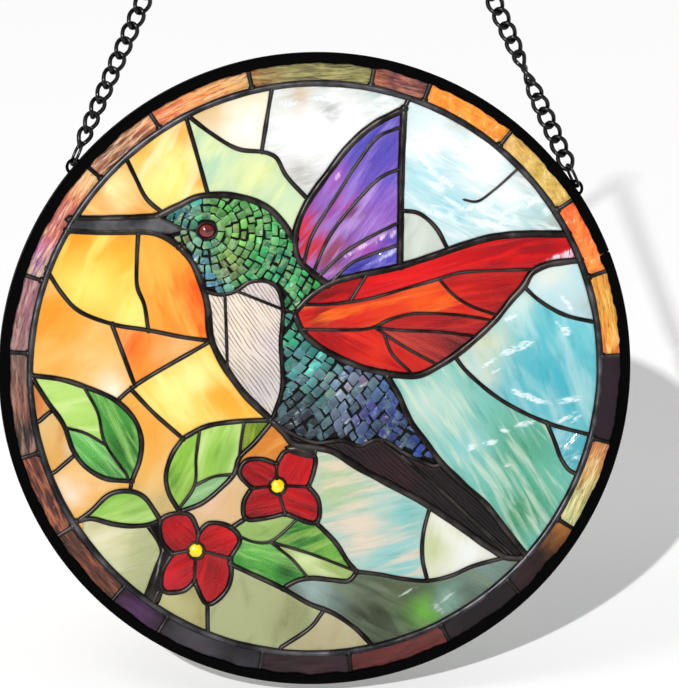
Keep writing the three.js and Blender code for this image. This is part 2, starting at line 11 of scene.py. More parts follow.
import bpy
import numpy as np
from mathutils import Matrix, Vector


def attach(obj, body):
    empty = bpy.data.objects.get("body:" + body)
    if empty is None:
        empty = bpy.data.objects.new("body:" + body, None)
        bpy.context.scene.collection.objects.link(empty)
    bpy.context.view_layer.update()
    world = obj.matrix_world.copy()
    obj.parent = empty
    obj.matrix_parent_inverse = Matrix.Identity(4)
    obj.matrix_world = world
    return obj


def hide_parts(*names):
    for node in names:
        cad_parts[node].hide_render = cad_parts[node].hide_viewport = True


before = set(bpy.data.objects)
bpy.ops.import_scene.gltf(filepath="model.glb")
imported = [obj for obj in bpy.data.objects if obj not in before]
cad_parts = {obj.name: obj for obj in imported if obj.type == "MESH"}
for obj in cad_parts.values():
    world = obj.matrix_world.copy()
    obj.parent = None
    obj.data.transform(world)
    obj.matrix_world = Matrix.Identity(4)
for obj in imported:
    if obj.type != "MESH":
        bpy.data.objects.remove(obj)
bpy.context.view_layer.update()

LOG = logging.getLogger("suncatcher")
Array = np.ndarray

MM = 0.001
PANEL_CENTRE_Z = -243.1
PANEL_RADIUS = 100.0
RING_RADIUS = 90.4
GLASS_FACE = 1.5
HANG_HEIGHT = 238.6
HANG_RING_RADIUS = 5.4
EYELET_ANGLES = {"left": 139.6, "right": 34.5}
SEAM_ANGLE = 21.5
BORDER_MIDDLE = 94.5
EYE = (-34.8, 44.4)
LOW_HEART = (-38.5, -56.7)
HIGH_HEART = (-12.5, -36.6)

Path2 = list[tuple[float, float]]

OUTLINES: dict[str, Path2] = {
    "beak_top": [(-78.5, 48.6), (-65.8, 48.4), (-49.9, 48.9)],
    "beak_low": [(-79.1, 45.1), (-65.8, 44.4), (-53.1, 44.3), (-48, 42.7), (-43.2, 39.5)],
    "crown": [(-50.6, 48.8), (-43.6, 52.2), (-37.6, 54.9), (-30.9, 55.5), (-24.6, 54.9), (-16.3, 51.8),
              (-11.5, 47.4), (-7.3, 41.2)],
    "throat": [(-43.2, 39.5), (-39.4, 34.7), (-36.5, 28.3), (-34.5, 20.4), (-33.2, 9.6), (-24.2, -5.7),
               (-14.6, -15.6)],
    "belly": [(-14.6, -15.6), (-10.4, -19.8), (-7.5, -23.3), (-0.5, -24.6), (4.9, -25.9), (14.7, -32),
              (24.9, -37.5), (35.5, -43.6), (44.4, -49.7), (54.6, -57), (60.6, -60.6), (67, -60.9)],
    "back": [(21.8, -1.3), (26, -8.6), (29.2, -15.9), (34.4, -23.2), (39.8, -30.3), (47.2, -37.6),
             (54.5, -44.3), (60.6, -52.3), (67, -60.3)],
    "upper_wing_left": [(27.6, 82.2), (17.5, 76.9), (10.2, 70.6), (3, 61.4), (-2.3, 54.1), (-5.5, 47.8),
                        (-7, 41.2), (-5.7, 34.8), (-1.9, 31), (3.2, 27.1)],
    "upper_wing_right": [(27.6, 82.2), (26.8, 63.8), (26.4, 32.7)],
    "red_wing_top": [(-7.3, 18.3), (-1.5, 24), (4.2, 27.4), (10.5, 29.3), (25.1, 32.2), (37.1, 35.8),
                     (46.3, 38.9), (56.2, 41.5), (66.3, 42.3), (80, 42.2)],
    "red_wing_low": [(-7.3, 18.3), (-4.9, 12.6), (-0.4, 8.1), (7.2, 3.6), (15.5, 0.2), (25.3, -1.9),
                     (32.6, -2), (39.3, 1.2), (45.6, 5.3), (56.3, 14.7), (62, 21.7), (65.8, 25.8),
                     (68.3, 29.9), (73, 32.4), (81, 33.6), (84.8, 33.9)],
}
LEAF_LINES: dict[str, Path2] = {
    "breast": [(-35.5, 25.5), (-30.1, 24.3), (-25.6, 25.4), (-21.2, 28.2), (-16.1, 28.4), (-12.6, 26.3),
               (-10.7, 20.6), (-11.3, 9.4), (-11.1, -6.4), (-14.3, -15.6)],
    "nape": [(-10.7, 19.6), (-7.2, 18)],
    "vent": [(-13, -16.9), (-6.6, -20.7), (-0.2, -23), (8.3, -22.4), (13.4, -24.1), (20.1, -22.2),
             (28.4, -27), (38.2, -31.5)],
    "wing_tip": [(27.6, 82.2), (29.5, 86)],
    "left_leaf_top": [(-90.2, -0.5), (-81, -1.8), (-73.7, -4.1), (-63.5, -8.8), (-57.4, -15.3),
                      (-55.5, -21.7), (-56.1, -27.7), (-58.6, -34.4)],
    "left_leaf_low": [(-89.9, -0.8), (-84.8, -9.1), (-80, -16.1), (-76.7, -25), (-72.9, -29.8),
                      (-66.8, -33.4), (-58.6, -34.4)],
    "mid_leaf_top": [(-42.5, -21.1), (-35.2, -17.4), (-25.7, -16), (-14.6, -15.6)],
    "mid_leaf_right": [(-14.6, -16.6), (-19.9, -22.9), (-24.7, -27.6), (-26.2, -32.4), (-30.9, -37.4),
                       (-36.6, -41.8), (-43.6, -44.3)],
    "mid_leaf_left": [(-43.6, -44.3), (-47.1, -37.9), (-47.8, -32.5), (-45.9, -26.2), (-42.5, -21.1)],
    "small_leaf_top": [(-76, -46.9), (-71.8, -44), (-65.5, -38.4), (-59.8, -37.5), (-55.1, -39.2),
                       (-49.6, -46.8)],
    "small_leaf_low": [(-76, -46.9), (-71.8, -46), (-64.8, -47.8), (-58.8, -48.6), (-52.5, -48.1),
                       (-49.6, -46.8)],
    "right_leaf_top": [(-0.1, -48.7), (6, -55.1), (9.9, -61.2), (12.7, -64.4)],
    "right_leaf_left": [(-22.6, -46.8), (-27, -49.5)],
    "right_leaf_low": [(12.7, -64.4), (10.2, -67.2), (4.8, -66.9), (-1.5, -66.2), (-6, -66.8), (-11, -69.3)],
    "stem": [(-28.2, -60.9), (-20, -64.9), (-11, -69.3), (-2.4, -74.4), (5.2, -77.6), (12.5, -82.8),
             (17.7, -88.2)],
    "low_petal_1": [(-46, -57.6), (-48.9, -54.1), (-49.9, -50), (-49.3, -46.6), (-45.5, -44.9),
                    (-40.4, -45.4), (-37.5, -51)],
    "low_petal_2": [(-37.5, -51), (-34.4, -48.2), (-28, -49.2), (-24.5, -53.3), (-27.6, -59.3)],
    "low_petal_3": [(-27.6, -59.3), (-27.3, -65.1), (-29.4, -70.4), (-34.8, -73.9), (-39, -66.6)],
    "low_petal_4": [(-39, -66.6), (-42.2, -69.4), (-48.8, -69.4), (-49.2, -63.6), (-46, -57.6)],
    "high_petal_1": [(-12.9, -29.6), (-9.7, -25.5), (-0.8, -27.4), (-1.1, -32.5), (-2.7, -37)],
    "high_petal_2": [(-2.7, -37), (0.5, -41.4), (-0.1, -48.4), (-10.2, -45.5)],
    "high_petal_3": [(-10.2, -45.5), (-16.9, -46.9), (-22.6, -46.8), (-23.3, -41.9), (-20.8, -37.2)],
    "high_petal_4": [(-20.8, -37.2), (-24.6, -32.4), (-22.7, -28.6), (-17.7, -28), (-12.9, -29.6)],
}
GROUND_LINES: dict[str, Path2] = {
    "amber_yellow": [(-60.2, 67.9), (-57, 61.2), (-53.5, 54.5), (-48, 49.7)],
    "yellow_green": [(-41.2, 80.4), (-37.2, 66.4), (-34.1, 55)],
    "green_top": [(-41.3, 81.1), (-33, 74.7), (-24.7, 69.9), (-16.4, 68.8), (-12.9, 67.2), (-9.7, 61.5),
                  (-2.7, 53.8)],
    "cream_white": [(-14, 89.5), (-15.2, 82.5), (-17.4, 68.9)],
    "grey_wing": [(26.6, 50.1), (32.3, 49.2), (37.7, 44.7), (41.6, 37.7)],
    "pale_aqua": [(65.8, 25.8), (70.7, 21.3), (79, 16.5), (89.4, 13.9)],
    "aqua_teal": [(43.7, 4), (47.5, -0.9), (58.7, -10.3), (73.4, -17.8), (87.7, -22)],
    "teal_chip": [(73.4, -17.8), (75.6, -22.9), (78.2, -29.6), (81.1, -33.4), (84.6, -34.7)],
    "yellow_orange": [(-56.2, 44.3), (-56.7, 35.8), (-56.6, 26.9), (-54.5, 21.5), (-53.2, 13.2)],
    "amber_sweep": [(-85.4, 33.4), (-80.2, 25.1), (-75.1, 19.7), (-64, 15.2), (-52.9, 13.2), (-42.1, 10.9),
                    (-33.2, 9.6)],
    "amber_orange": [(-64.6, 15.2), (-57.5, -4.2)],
    "orange_yellow": [(-63.2, -8.9), (-57.5, -4.2), (-33.5, 9.6)],
    "yellow_strip": [(-58.8, -5.2), (-51.7, -12.8), (-42.5, -21.1)],
    "chip_link": [(-84.8, -12.6), (-88.2, -15.4)],
    "edge_link": [(-76.7, -26), (-83, -31.3)],
    "leaf_link": [(-58.6, -34.4), (-59.2, -37.5)],
    "olive_foot": [(2, -76.7), (-1.8, -81.7), (-11.6, -88.3)],
    "olive_bar": [(-34.8, -73.9), (-34.8, -82.8)],
    "high_web": [(-0.5, -24.6), (-0.8, -27.4)],
    "low_web": [(-50.6, -69.8), (-52.4, -73.6)],
    "hill_top": [(12.7, -64.4), (20, -65.4), (27.7, -67), (35.6, -67.7), (42.9, -66.2), (49.9, -63.3),
                 (60.6, -60.6)],
    "aqua_cream": [(36.1, -43.9), (33.9, -52.8), (33.7, -60.7), (35.3, -67.7)],
}
VEINS: dict[str, Path2] = {
    "left_leaf_1": [(-73.7, -4.1), (-69.2, -12.7), (-67.2, -21.6), (-59.5, -33.4)],
    "left_leaf_2": [(-79.3, -17.1), (-73, -19), (-66.6, -22.9)],
    "mid_leaf_1": [(-37.1, -18.3), (-38.3, -26.9), (-38.9, -36.1), (-43.9, -43.4)],
    "mid_leaf_2": [(-38.9, -36.1), (-32.6, -33.3), (-26.2, -32.7)],
    "mid_leaf_3": [(-23.1, -16.2), (-24.1, -22.2), (-24.7, -27.6)],
    "right_leaf_1": [(-24.2, -52.7), (-20, -54.3), (-15, -54.3), (-5.8, -46.8)],
    "right_leaf_2": [(-15, -54.3), (-1.6, -58.6), (11.8, -64)],
    "right_leaf_3": [(-15, -54.3), (-7.9, -60.1), (-2.8, -66.2)],
    "beak_base_top": [(-50.4, 48.8), (-46.6, 47.1), (-42.3, 45.0)],
    "beak_base_low": [(-42.3, 45.0), (-46.8, 43.9), (-51.5, 44.3)],
    "breast_1": [(-29.1, 24.2), (-28.7, 12.7), (-28.3, -0.6)],
    "breast_2": [(-25.6, 25.4), (-10.7, 19.3)],
    "upper_wing_1": [(25.8, 76.2), (19.4, 73.4), (11.9, 63.9), (6.9, 56), (-1.6, 42.4), (-4.4, 33.2)],
    "upper_wing_2": [(26.8, 63.5), (20.5, 60.8), (12.9, 53.6), (4.1, 42.4), (-1.2, 31)],
    "upper_wing_3": [(26.6, 46.7), (15.2, 41), (8.1, 36.6), (0.4, 29.4)],
    "upper_wing_4": [(26.3, 39.4), (17.8, 36.6), (10.5, 33.4), (4.2, 27.4)],
    "red_wing_1": [(-4, 20.8), (3.3, 20.8), (16, 22.3), (27.7, 25.4), (37.2, 28), (44.8, 30.2),
                   (58.4, 30.9), (70.2, 31.1)],
    "red_wing_2": [(10.6, 21.7), (15.9, 30.2)],
    "red_wing_3": [(38.8, 28.2), (43.9, 22.9), (49, 19.7), (57.6, 16.6)],
    "red_wing_4": [(-4.9, 12.9), (17, 13.1), (22.7, 15.6), (30, 17.4), (39.2, 17.4), (46.5, 16.7),
                   (56.3, 15)],
    "red_wing_5": [(17.9, 13.4), (25.2, 12.4), (39.2, 11.6), (51.3, 10)],
    "red_wing_6": [(18.6, 13.1), (27.8, 7), (38.3, 1.2)],
    "red_wing_7": [(21.4, 11.1), (23.7, 5.1), (30.4, -1.6)],
    "low_petals_1": [(-37.5, -51), (-38.5, -56.7), (-39, -66.6)],
    "low_petals_2": [(-46, -57.6), (-38.5, -56.7), (-27.9, -59.3)],
    "high_petals_1": [(-12.9, -29.6), (-12.5, -36.6), (-10.2, -45.5)],
    "high_petals_2": [(-20.8, -37.2), (-12.5, -36.6), (-2.7, -37)],
}
LAID_LINES: dict[str, Path2] = {
    "sky_crack": [(64.3, 63.5), (56.1, 56.3), (50.7, 52.8), (46.2, 53.5)],
    "tail_1": [(20.1, -22.5), (33.2, -33.4), (44.3, -43.6), (60.6, -59.6)],
    "tail_2": [(26.8, -27.3), (39.5, -38.5), (52.3, -50.7), (62.5, -59.9)],
    "eye_line": [(-48.5, 45.6), (-42, 45), (-36, 43.5)],
}
POOLS: dict[str, Path2] = {
    "pool_low": [(-54.7, -47.7), (-49.6, -47.1), (-49.6, -50.6), (-48.6, -54.4), (-46.4, -57.6),
                 (-48.9, -63.3), (-48.8, -69.4), (-50.9, -73.9), (-54.8, -71.2), (-53.8, -67.5), (-51.8, -62),
                 (-49.9, -56.6), (-51.2, -52.8)],
    "pool_high": [(-10.4, -24.2), (-7.5, -23.3), (-0.5, -24.6), (-0.5, -27.8), (-9.4, -25.8)],
}
BORDER_ANGLES = (102.9, 79.2, 68.2, 50.5, 33.1, 18.2, 2.0, -14.6, -32.3, -48.1, -64.1, -83.6, -100.9,
                 -121.4, -132.0, -147.9, -164.1, -184.1, -198.7, -222.0, -237.2, -257.1)


def linear(code: str) -> tuple[float, float, float]:
    """Turns a colour such as '#f0a030' into linear red, green and blue.

    Args:
        code: the colour in hexadecimal.

    Returns:
        The linear values: v / 12.92 up to 0.04045, and ((v + 0.055) / 1.055) ^ 2.4 above it.
    """
    values = (int(code[i:i + 2], 16) / 255 for i in (1, 3, 5))
    return tuple(v / 12.92 if v <= 0.04045 else ((v + 0.055) / 1.055) ** 2.4 for v in values)


def to_world(points: Array) -> Array:
    """Turns panel millimetres (x, y, depth) into row-frame metres (x, -depth, y + centre)."""
    x, y, depth = np.asarray(points, float).T
    return np.stack([x, -depth, y + PANEL_CENTRE_Z], 1) * MM


def waves(x: Array, y: Array, seed: int, length: float, octaves: int = 3) -> Array:
    """Smooth noise: a sum of sine waves in seeded directions, each octave half as long and high.

    Args:
        x: first coordinates.
        y: second coordinates.
        seed: seed of directions and phases.
        length: wavelength of the first octave.
        octaves: number of octaves.

    Returns:
        Values of about -1 to 1.
    """
    rng = np.random.default_rng(seed)
    total = np.zeros_like(np.asarray(x, float))
    for octave in range(octaves):
        for _ in range(4):
            turn, phase = rng.uniform(0, 2 * math.pi, 2)
            step = 2 * math.pi * 2 ** octave / length
            total += np.sin((x * math.cos(turn) + y * math.sin(turn)) * step + phase) * 0.55 ** octave
    return total / 4


def smooth_path(points: Sequence[Sequence[float]], step: float = 0.6) -> Array:
    """Runs a centripetal cubic through the points, in even steps.

    Each stretch is a Hermite cubic whose end slopes are the distance-weighted means of the chords.

    Args:
        points: the points, in any number of dimensions.
        step: the distance between samples.

    Returns:
        The samples, both ends included.
    """
    p = np.asarray(points, float)
    gaps = np.linalg.norm(np.diff(p, axis=0), axis=1)
    dt = np.sqrt(gaps)
    t = np.concatenate([[0], np.cumsum(dt)])
    slopes = np.diff(p, axis=0) / dt[:, None]
    ends = np.vstack([slopes[:1], slopes, slopes[-1:]])
    weight = np.concatenate([dt[:1], dt, dt[-1:]])
    before, after = weight[:-1, None], weight[1:, None]
    tangents = (ends[:-1] * after + ends[1:] * before) / (before + after)
    at = np.linspace(0, t[-1], max(8, int(gaps.sum() / step) * 4))
    i = np.clip(np.searchsorted(t, at, side="right") - 1, 0, len(dt) - 1)
    u, h = ((at - t[i]) / dt[i])[:, None], dt[i][:, None]
    line = ((2 * u ** 3 - 3 * u ** 2 + 1) * p[i] + (u ** 3 - 2 * u ** 2 + u) * h * tangents[i]
            + (3 * u ** 2 - 2 * u ** 3) * p[i + 1] + (u ** 3 - u ** 2) * h * tangents[i + 1])
    run = np.concatenate([[0], np.cumsum(np.linalg.norm(np.diff(line, axis=0), axis=1))])
    even = np.linspace(0, run[-1], max(3, int(run[-1] / step) + 1))
    return np.stack([np.interp(even, run, line[:, k]) for k in range(p.shape[1])], 1)


@dataclass
class Shape:
    """Vertices in panel millimetres, faces, and colours or flat coordinates where a pattern needs them."""

    points: Array
    faces: list[list[int]]
    tint: Array | None = None
    flat: Array | None = None

    @staticmethod
    def joined(shapes: Iterable["Shape"]) -> "Shape":
        """Puts several shapes into one, with their faces renumbered.

        Args:
            shapes: the shapes, all tinted or all plain.

        Returns:
            The one shape.
        """
        shapes = list(shapes)
        starts = np.cumsum([0] + [len(s.points) for s in shapes[:-1]])
        faces = [[v + int(start) for v in face] for s, start in zip(shapes, starts) for face in s.faces]
        tints = [s.tint for s in shapes]
        return Shape(np.concatenate([s.points for s in shapes]), faces,
                     None if tints[0] is None else np.concatenate(tints))

    def flipped(self) -> "Shape":
        """The shape with its faces turned over."""
        return Shape(self.points, [face[::-1] for face in self.faces], self.tint, self.flat)

    def placed(self, name: str, material: bpy.types.Material, nodes: Sequence[str], slot: str,
               smooth: bool = True) -> bpy.types.Object:
        """Makes the mesh object, gives it its material and hands it to the frame.

        Args:
            name: the piece's name.
            material: its material.
            nodes: the CAD nodes that it stands for.
            slot: the piece's material slot; not used.
            smooth: whether its faces are shaded smoothly.

        Returns:
            The object, which rides on the root body.
        """
        mesh = bpy.data.meshes.new(name)
        mesh.from_pydata(to_world(self.points).tolist(), [], self.faces)
        if self.tint is not None:
            colours = mesh.color_attributes.new("tint", "FLOAT_COLOR", "POINT")
            rgba = self.tint if self.tint.shape[1] == 4 else np.pad(self.tint, ((0, 0), (0, 1)))
            rgba = np.clip(rgba, 0, 1)
            colours.data.foreach_set("color", rgba.astype(np.float32).ravel())
        if self.flat is not None:
            layer = mesh.uv_layers.new(name="flat")
            corners = np.empty(len(mesh.loops), dtype=np.int32)
            mesh.loops.foreach_get("vertex_index", corners)
            layer.data.foreach_set("uv", self.flat[corners].astype(np.float32).ravel())
        mesh.polygons.foreach_set("use_smooth", np.full(len(mesh.polygons), smooth))
        mesh.materials.append(material)
        mesh.update()
        piece = bpy.data.objects.new(name, mesh)
        bpy.context.collection.objects.link(piece)
        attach(piece, "root")
        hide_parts(*nodes)
        LOG.info("%s: %d faces", name, len(mesh.polygons))
        return piece


def lattice(rows: int, columns: int, close_rows: bool = False,
            close_columns: bool = True) -> list[list[int]]:
    """Quads between neighbouring points of a grid that is numbered row by row.

    Args:
        rows: number of rows.
        columns: number of points in a row.
        close_rows: whether the last row joins the first.
        close_columns: whether the last column joins the first.

    Returns:
        The quads.
    """
    r, c = np.meshgrid(np.arange(rows - (not close_rows)), np.arange(columns - (not close_columns)),
                       indexing="ij")
    r2, c2 = (r + 1) % rows, (c + 1) % columns
    quads = np.stack([r * columns + c, r * columns + c2, r2 * columns + c2, r2 * columns + c], -1)
    return quads.reshape(-1, 4).tolist()


def caps(rows: int, columns: int) -> list[list[int]]:
    """The two faces that close a lattice at its first and its last row."""
    return [list(range(columns))[::-1], list(range((rows - 1) * columns, rows * columns))]


def upward(count: int) -> Array:
    """Unit vectors along the depth."""
    return np.broadcast_to([0.0, 0.0, 1.0], (count, 3))


def tube(path: Array, across: Array, up: Array, wide: Array, tall: Array, sides: int,
         closed: bool = False, square: float = 1.0) -> Shape:
    """Carries an oval section along a path, with rounded ends unless it is closed.

    A point is path + across * wide * cos + up * tall * sin, with cosine and sine raised to `square`.

    Args:
        path: points of the middle line.
        across: unit vectors to one side, one for each point.
        up: unit vectors upwards, one for each point.
        wide: half widths.
        tall: half heights.
        sides: corners of the section.
        closed: whether the path ends where it starts.
        square: 1 for an oval, below 1 for a boxier section.

    Returns:
        The closed shape.
    """
    turn = np.arange(sides) * 2 * math.pi / sides
    cos, sin = (np.sign(v) * np.abs(v) ** square for v in (np.cos(turn), np.sin(turn)))
    points = (path[:, None] + across[:, None] * (wide[:, None, None] * cos[None, :, None])
              + up[:, None] * (tall[:, None, None] * sin[None, :, None]))
    n = len(path)
    faces = lattice(n, sides, close_rows=closed)
    return Shape(points.reshape(-1, 3), faces if closed else faces + caps(n, sides))


def frames(path: Array, closed: bool = False) -> tuple[Array, Array]:
    """Unit tangents of a flat path, and unit vectors to its right.

    Args:
        path: the points.
        closed: whether the path ends where it starts.

    Returns:
        The tangents and the vectors, one of each for each point.
    """
    tangent = np.roll(path, -1, 0) - np.roll(path, 1, 0) if closed else np.gradient(path, axis=0)
    tangent /= np.linalg.norm(tangent, axis=1)[:, None]
    return tangent, np.stack([tangent[:, 1], -tangent[:, 0]], 1)


def deep(flat: Array, depth: float | Array) -> Array:
    """Adds a depth to flat points."""
    return np.column_stack([flat, np.broadcast_to(depth, len(flat))])


def bead(path: Array, half_width: float, centre: float, half_height: float, seed: int = 0,
         closed: bool = False) -> Shape:
    """A solder bead along a flat path, its width wavering a little, its ends drawn in to a round.

    Args:
        path: flat points of the middle line.
        half_width: half the bead's width.
        centre: depth of the bead's middle.
        half_height: half the bead's height.
        seed: seed of the wavering.
        closed: whether the path ends where it starts.

    Returns:
        The closed shape.
    """
    _, across = frames(path, closed)
    run = np.concatenate([[0], np.cumsum(np.linalg.norm(np.diff(path, axis=0), axis=1))])
    width = half_width * (1 + 0.1 * waves(run, run * 0.37, seed, 14, 2))
    height = half_height * (1 + 0.05 * waves(run, run * 0.21, seed + 5, 9, 2))
    if not closed:
        end = np.minimum(run, run[-1] - run) / half_width
        taper = np.sqrt(np.clip(1 - (1 - np.clip(end, 0.08, 1)) ** 2, 0, 1))
        width, height = width * taper, height * (0.55 + 0.45 * taper)
    return tube(deep(path, centre), deep(across, 0), upward(len(path)), width, height, 14, closed, 0.82)


class Wire:
    """A socket whose arithmetic adds Math nodes."""

    def __init__(self, tree: "Tree", socket: bpy.types.NodeSocket) -> None:
        """Keeps the socket and the tree that it is in."""
        self.tree, self.socket = tree, socket

    def _math(self, operation: str, first: Any, second: Any) -> "Wire":
        """Adds one Math node on two values or wires."""
        return self.tree.add("ShaderNodeMath", {"operation": operation}, {0: first, 1: second})

    def __add__(self, other: Any) -> "Wire":
        """Sum."""
        return self._math("ADD", self, other)

    def __sub__(self, other: Any) -> "Wire":
        """Difference."""
        return self._math("SUBTRACT", self, other)

    def __rsub__(self, other: Any) -> "Wire":
        """Difference from a number."""
        return self._math("SUBTRACT", other, self)

    def __mul__(self, other: Any) -> "Wire":
        """Product."""
        return self._math("MULTIPLY", self, other)

    __radd__, __rmul__ = __add__, __mul__


class Tree:
    """The node tree of one material."""

    def __init__(self, name: str) -> None:
        """Makes the material and empties its tree.

        Args:
            name: the material's name.
        """
        self.material = bpy.data.materials.new(name)
        self.material.use_nodes = True
        self.nodes, self.links = self.material.node_tree.nodes, self.material.node_tree.links
        self.nodes.clear()

    def add(self, kind: str, settings: dict[str, Any], inputs: dict[Any, Any], output: Any = 0) -> Wire:
        """Adds a node.

        Args:
            kind: the node's type.
            settings: its properties, set first; a key "stops" holds a colour ramp's stops.
            inputs: values or wires of its sockets, by name or number.
            output: the output wanted, by name or number.

        Returns:
            That output.
        """
        node = self.nodes.new(kind)
        for key, value in settings.items():
            if key == "stops":
                ramp = node.color_ramp
                while len(ramp.elements) < len(value):
                    ramp.elements.new(0.5)
                for element, (place, colour) in zip(ramp.elements, value):
                    element.position, element.color = place, (*colour, 1.0)
            else:
                setattr(node, key, value)
        for key, value in inputs.items():
            if isinstance(value, Wire):
                self.links.new(value.socket, node.inputs[key])
            else:
                socket = node.inputs[key]
                socket.default_value = (*value, 1.0) if socket.type == "RGBA" and len(value) == 3 else value
        return Wire(self, node.outputs[output])

    def place(self) -> Wire:
        """The object's own coordinates."""
        return self.add("ShaderNodeTexCoord", {}, {}, "Object")

    def tint(self) -> Wire:
        """The colour that the mesh carries."""
        return self.add("ShaderNodeAttribute", {"attribute_name": "tint"}, {}, "Color")

    def mask(self) -> Wire:
        """The share of painted highlight that the mesh carries in its alpha."""
        return self.add("ShaderNodeAttribute", {"attribute_name": "tint"}, {}, "Alpha")

    def turned(self, at: Wire, angle: float, along: float, across: float) -> Wire:
        """Coordinates that are turned in the panel's plane and scaled in cycles for each metre."""
        spun = self.add("ShaderNodeMapping", {}, {0: at, "Rotation": (0, math.radians(angle), 0)})
        return self.add("ShaderNodeMapping", {}, {0: spun, "Scale": (along, (along + across) / 2, across)})

    def noise(self, at: Wire, scale: float, detail: float = 2.0, twist: float = 0.0) -> Wire:
        """Fractal noise from 0 to 1."""
        return self.add("ShaderNodeTexNoise", {}, {"Vector": at, "Scale": scale, "Detail": detail,
                                                   "Distortion": twist})

    def ramp(self, factor: Wire, low: float, high: float) -> Wire:
        """A value that climbs smoothly from 0 to 1 between two limits."""
        return self.add("ShaderNodeMapRange", {"interpolation_type": "SMOOTHSTEP"},
                        {0: factor, 1: low, 2: high, 3: 0.0, 4: 1.0})

    def mix(self, factor: Any, first: Any, second: Any, blend: str = "MIX") -> Wire:
        """Mixes two colours."""
        return self.add("ShaderNodeMix", {"data_type": "RGBA", "blend_type": blend},
                        {0: factor, 6: first, 7: second}, 2)

    def bump(self, height: Wire, distance: float, strength: float = 1.0) -> Wire:
        """A normal from a height, whose full range is a distance in metres."""
        return self.add("ShaderNodeBump", {}, {"Height": height, "Distance": distance, "Strength": strength})

    def finish(self, **inputs: Any) -> bpy.types.Material:
        """Ends the tree in a Principled shader with the given sockets, underscores standing for spaces."""
        shader = self.add("ShaderNodeBsdfPrincipled", {}, {k.replace("_", " "): v for k, v in inputs.items()})
        self.links.new(shader.socket, self.nodes.new("ShaderNodeOutputMaterial").inputs["Surface"])
        return self.material


@dataclass(frozen=True)
class Patina:
    """Dark metal: patinated solder, blackened steel or gunmetal."""

    name: str
    dark: str
    light: str
    roughness: float = 0.32
    metallic: float = 0.85
    grain: float = 0.00012
    scale: float = 420.0
    crest: float = 0.0
    specular: float = 0.3

    def material(self) -> bpy.types.Material:
        """Two darks clouded by noise, a rougher bloom in places and a finely dimpled skin.

        Where a crest is given, the metal is painted nearly black below that depth: painted shade on
        the bead's flanks in the corner beside the glass, so that the crest of the bead reads lighter.

        Returns:
            The metal's material.
        """
        t = Tree(self.name)
        at = t.place()
        cloud = t.ramp(t.noise(at, self.scale * 0.3, 4), 0.35, 0.7)
        fine = t.noise(at, self.scale, 3)
        base = t.mix(cloud, linear(self.dark), linear(self.light))
        if self.crest:
            # Painted shade: below the crest depth the bead's colour is pulled to near black.
            depth = t.add("ShaderNodeSeparateXYZ", {}, {0: at}, 1)
            height = t.add("ShaderNodeMath", {"operation": "ABSOLUTE"}, {0: depth})
            unshaded = t.ramp(height, (self.crest - 0.45) * MM, (self.crest + 0.3) * MM)
            base = t.mix(unshaded, (0.0015, 0.0013, 0.0012), base)
        return t.finish(Base_Color=base, Metallic=self.metallic, Specular_IOR_Level=self.specular,
                        Roughness=cloud * 0.16 + self.roughness, Normal=t.bump(fine, self.grain, 0.6))


class Weave(Enum):
    """How an art glass is made, as (streak length mm, streak width mm, contrast, relief mm, roughness)."""

    WISPY = (26.0, 7.0, 0.75, 0.05, 0.16)
    OPAL = (34.0, 14.0, 0.5, 0.03, 0.2)
    STREAKY = (22.0, 2.8, 0.9, 0.05, 0.14)
    RIPPLED = (17.0, 4.2, 0.95, 0.2, 0.08)
    FEATHER = (30.0, 1.3, 0.9, 0.08, 0.25)
    WOOD = (9.0, 1.3, 0.9, 0.12, 0.35)
    PEBBLED = (3.0, 2.4, 0.7, 0.16, 0.3)
    BARBED = (20.0, 1.0, 0.9, 0.02, 0.3)


@dataclass(frozen=True)
class ArtGlass:
    """Streaky sheet glass that takes its broad colours from the mesh's tint."""

    name: str
    weave: Weave
    wisp: str
    angle: float = 0.0
    see: float = 0.6
    shade: float = 0.25
    painted_glint: str = ""
    scratch: float = 0.0

    def material(self) -> bpy.types.Material:
        """Tint, drawn towards the wisp colour along streaks and darkened along finer ones, with ripples.

        Where the mesh's alpha is high, a highlight is painted in the glint colour, where the crests of
        the ripples would catch the light: the alpha is broken up by noise and cut off at a level.
        Scratches are narrow bands of two long, fine noises, one towards the wisp colour and one
        towards a darker tint.

        Returns:
            The glass's material.
        """
        length, width, contrast, relief, rough = self.weave.value
        t = Tree(self.name)
        at = t.place()
        streaks = t.noise(t.turned(at, self.angle, 1000 / length, 1000 / width), 1.0, 3,
                          1.3 if self.weave is Weave.RIPPLED else 0.6)
        fine = t.noise(t.turned(at, self.angle, 2600 / length, 2600 / width), 1.0, 3, 0.4)
        tint = t.tint()
        base = t.mix(t.ramp(streaks, 0.44, 0.7) * contrast, tint, linear(self.wisp))
        base = t.mix(t.ramp(fine, 0.5, 0.8) * (0.25 + self.shade), base, t.mix(1.0, base, tint, "MULTIPLY"))
        height = streaks * 0.9 + fine * 0.1
        if self.scratch:
            pale = t.ramp(t.noise(t.turned(at, self.angle, 170, 1500), 1.0, 3, 0.9), 0.57, 0.66)
            dark = t.ramp(t.noise(t.turned(at, self.angle, 210, 1900), 1.0, 3, 0.9), 0.54, 0.62)
            deeper = t.mix(1.0, base, t.mix(1.0, tint, tint, "MULTIPLY"), "MULTIPLY")
            base = t.mix(dark * self.scratch, base, deeper)
            base = t.mix(pale * self.scratch, base, linear(self.wisp))
        # Painted highlight: where the mesh's alpha is high, the colour is pulled to the glint colour.
        if self.painted_glint:
            broken = t.noise(t.turned(at, self.angle + 70, 330, 1300), 1.0, 4, 1.1)
            base = t.mix(t.ramp(t.mask() * (broken * 5.0 - 1.6), 0.15, 0.85) * 0.9, base, linear(self.painted_glint))
        return t.finish(Base_Color=base, Roughness=rough, IOR=1.5, Transmission_Weight=self.see,
                        Specular_IOR_Level=0.16, Normal=t.bump(height, relief * MM * 4))


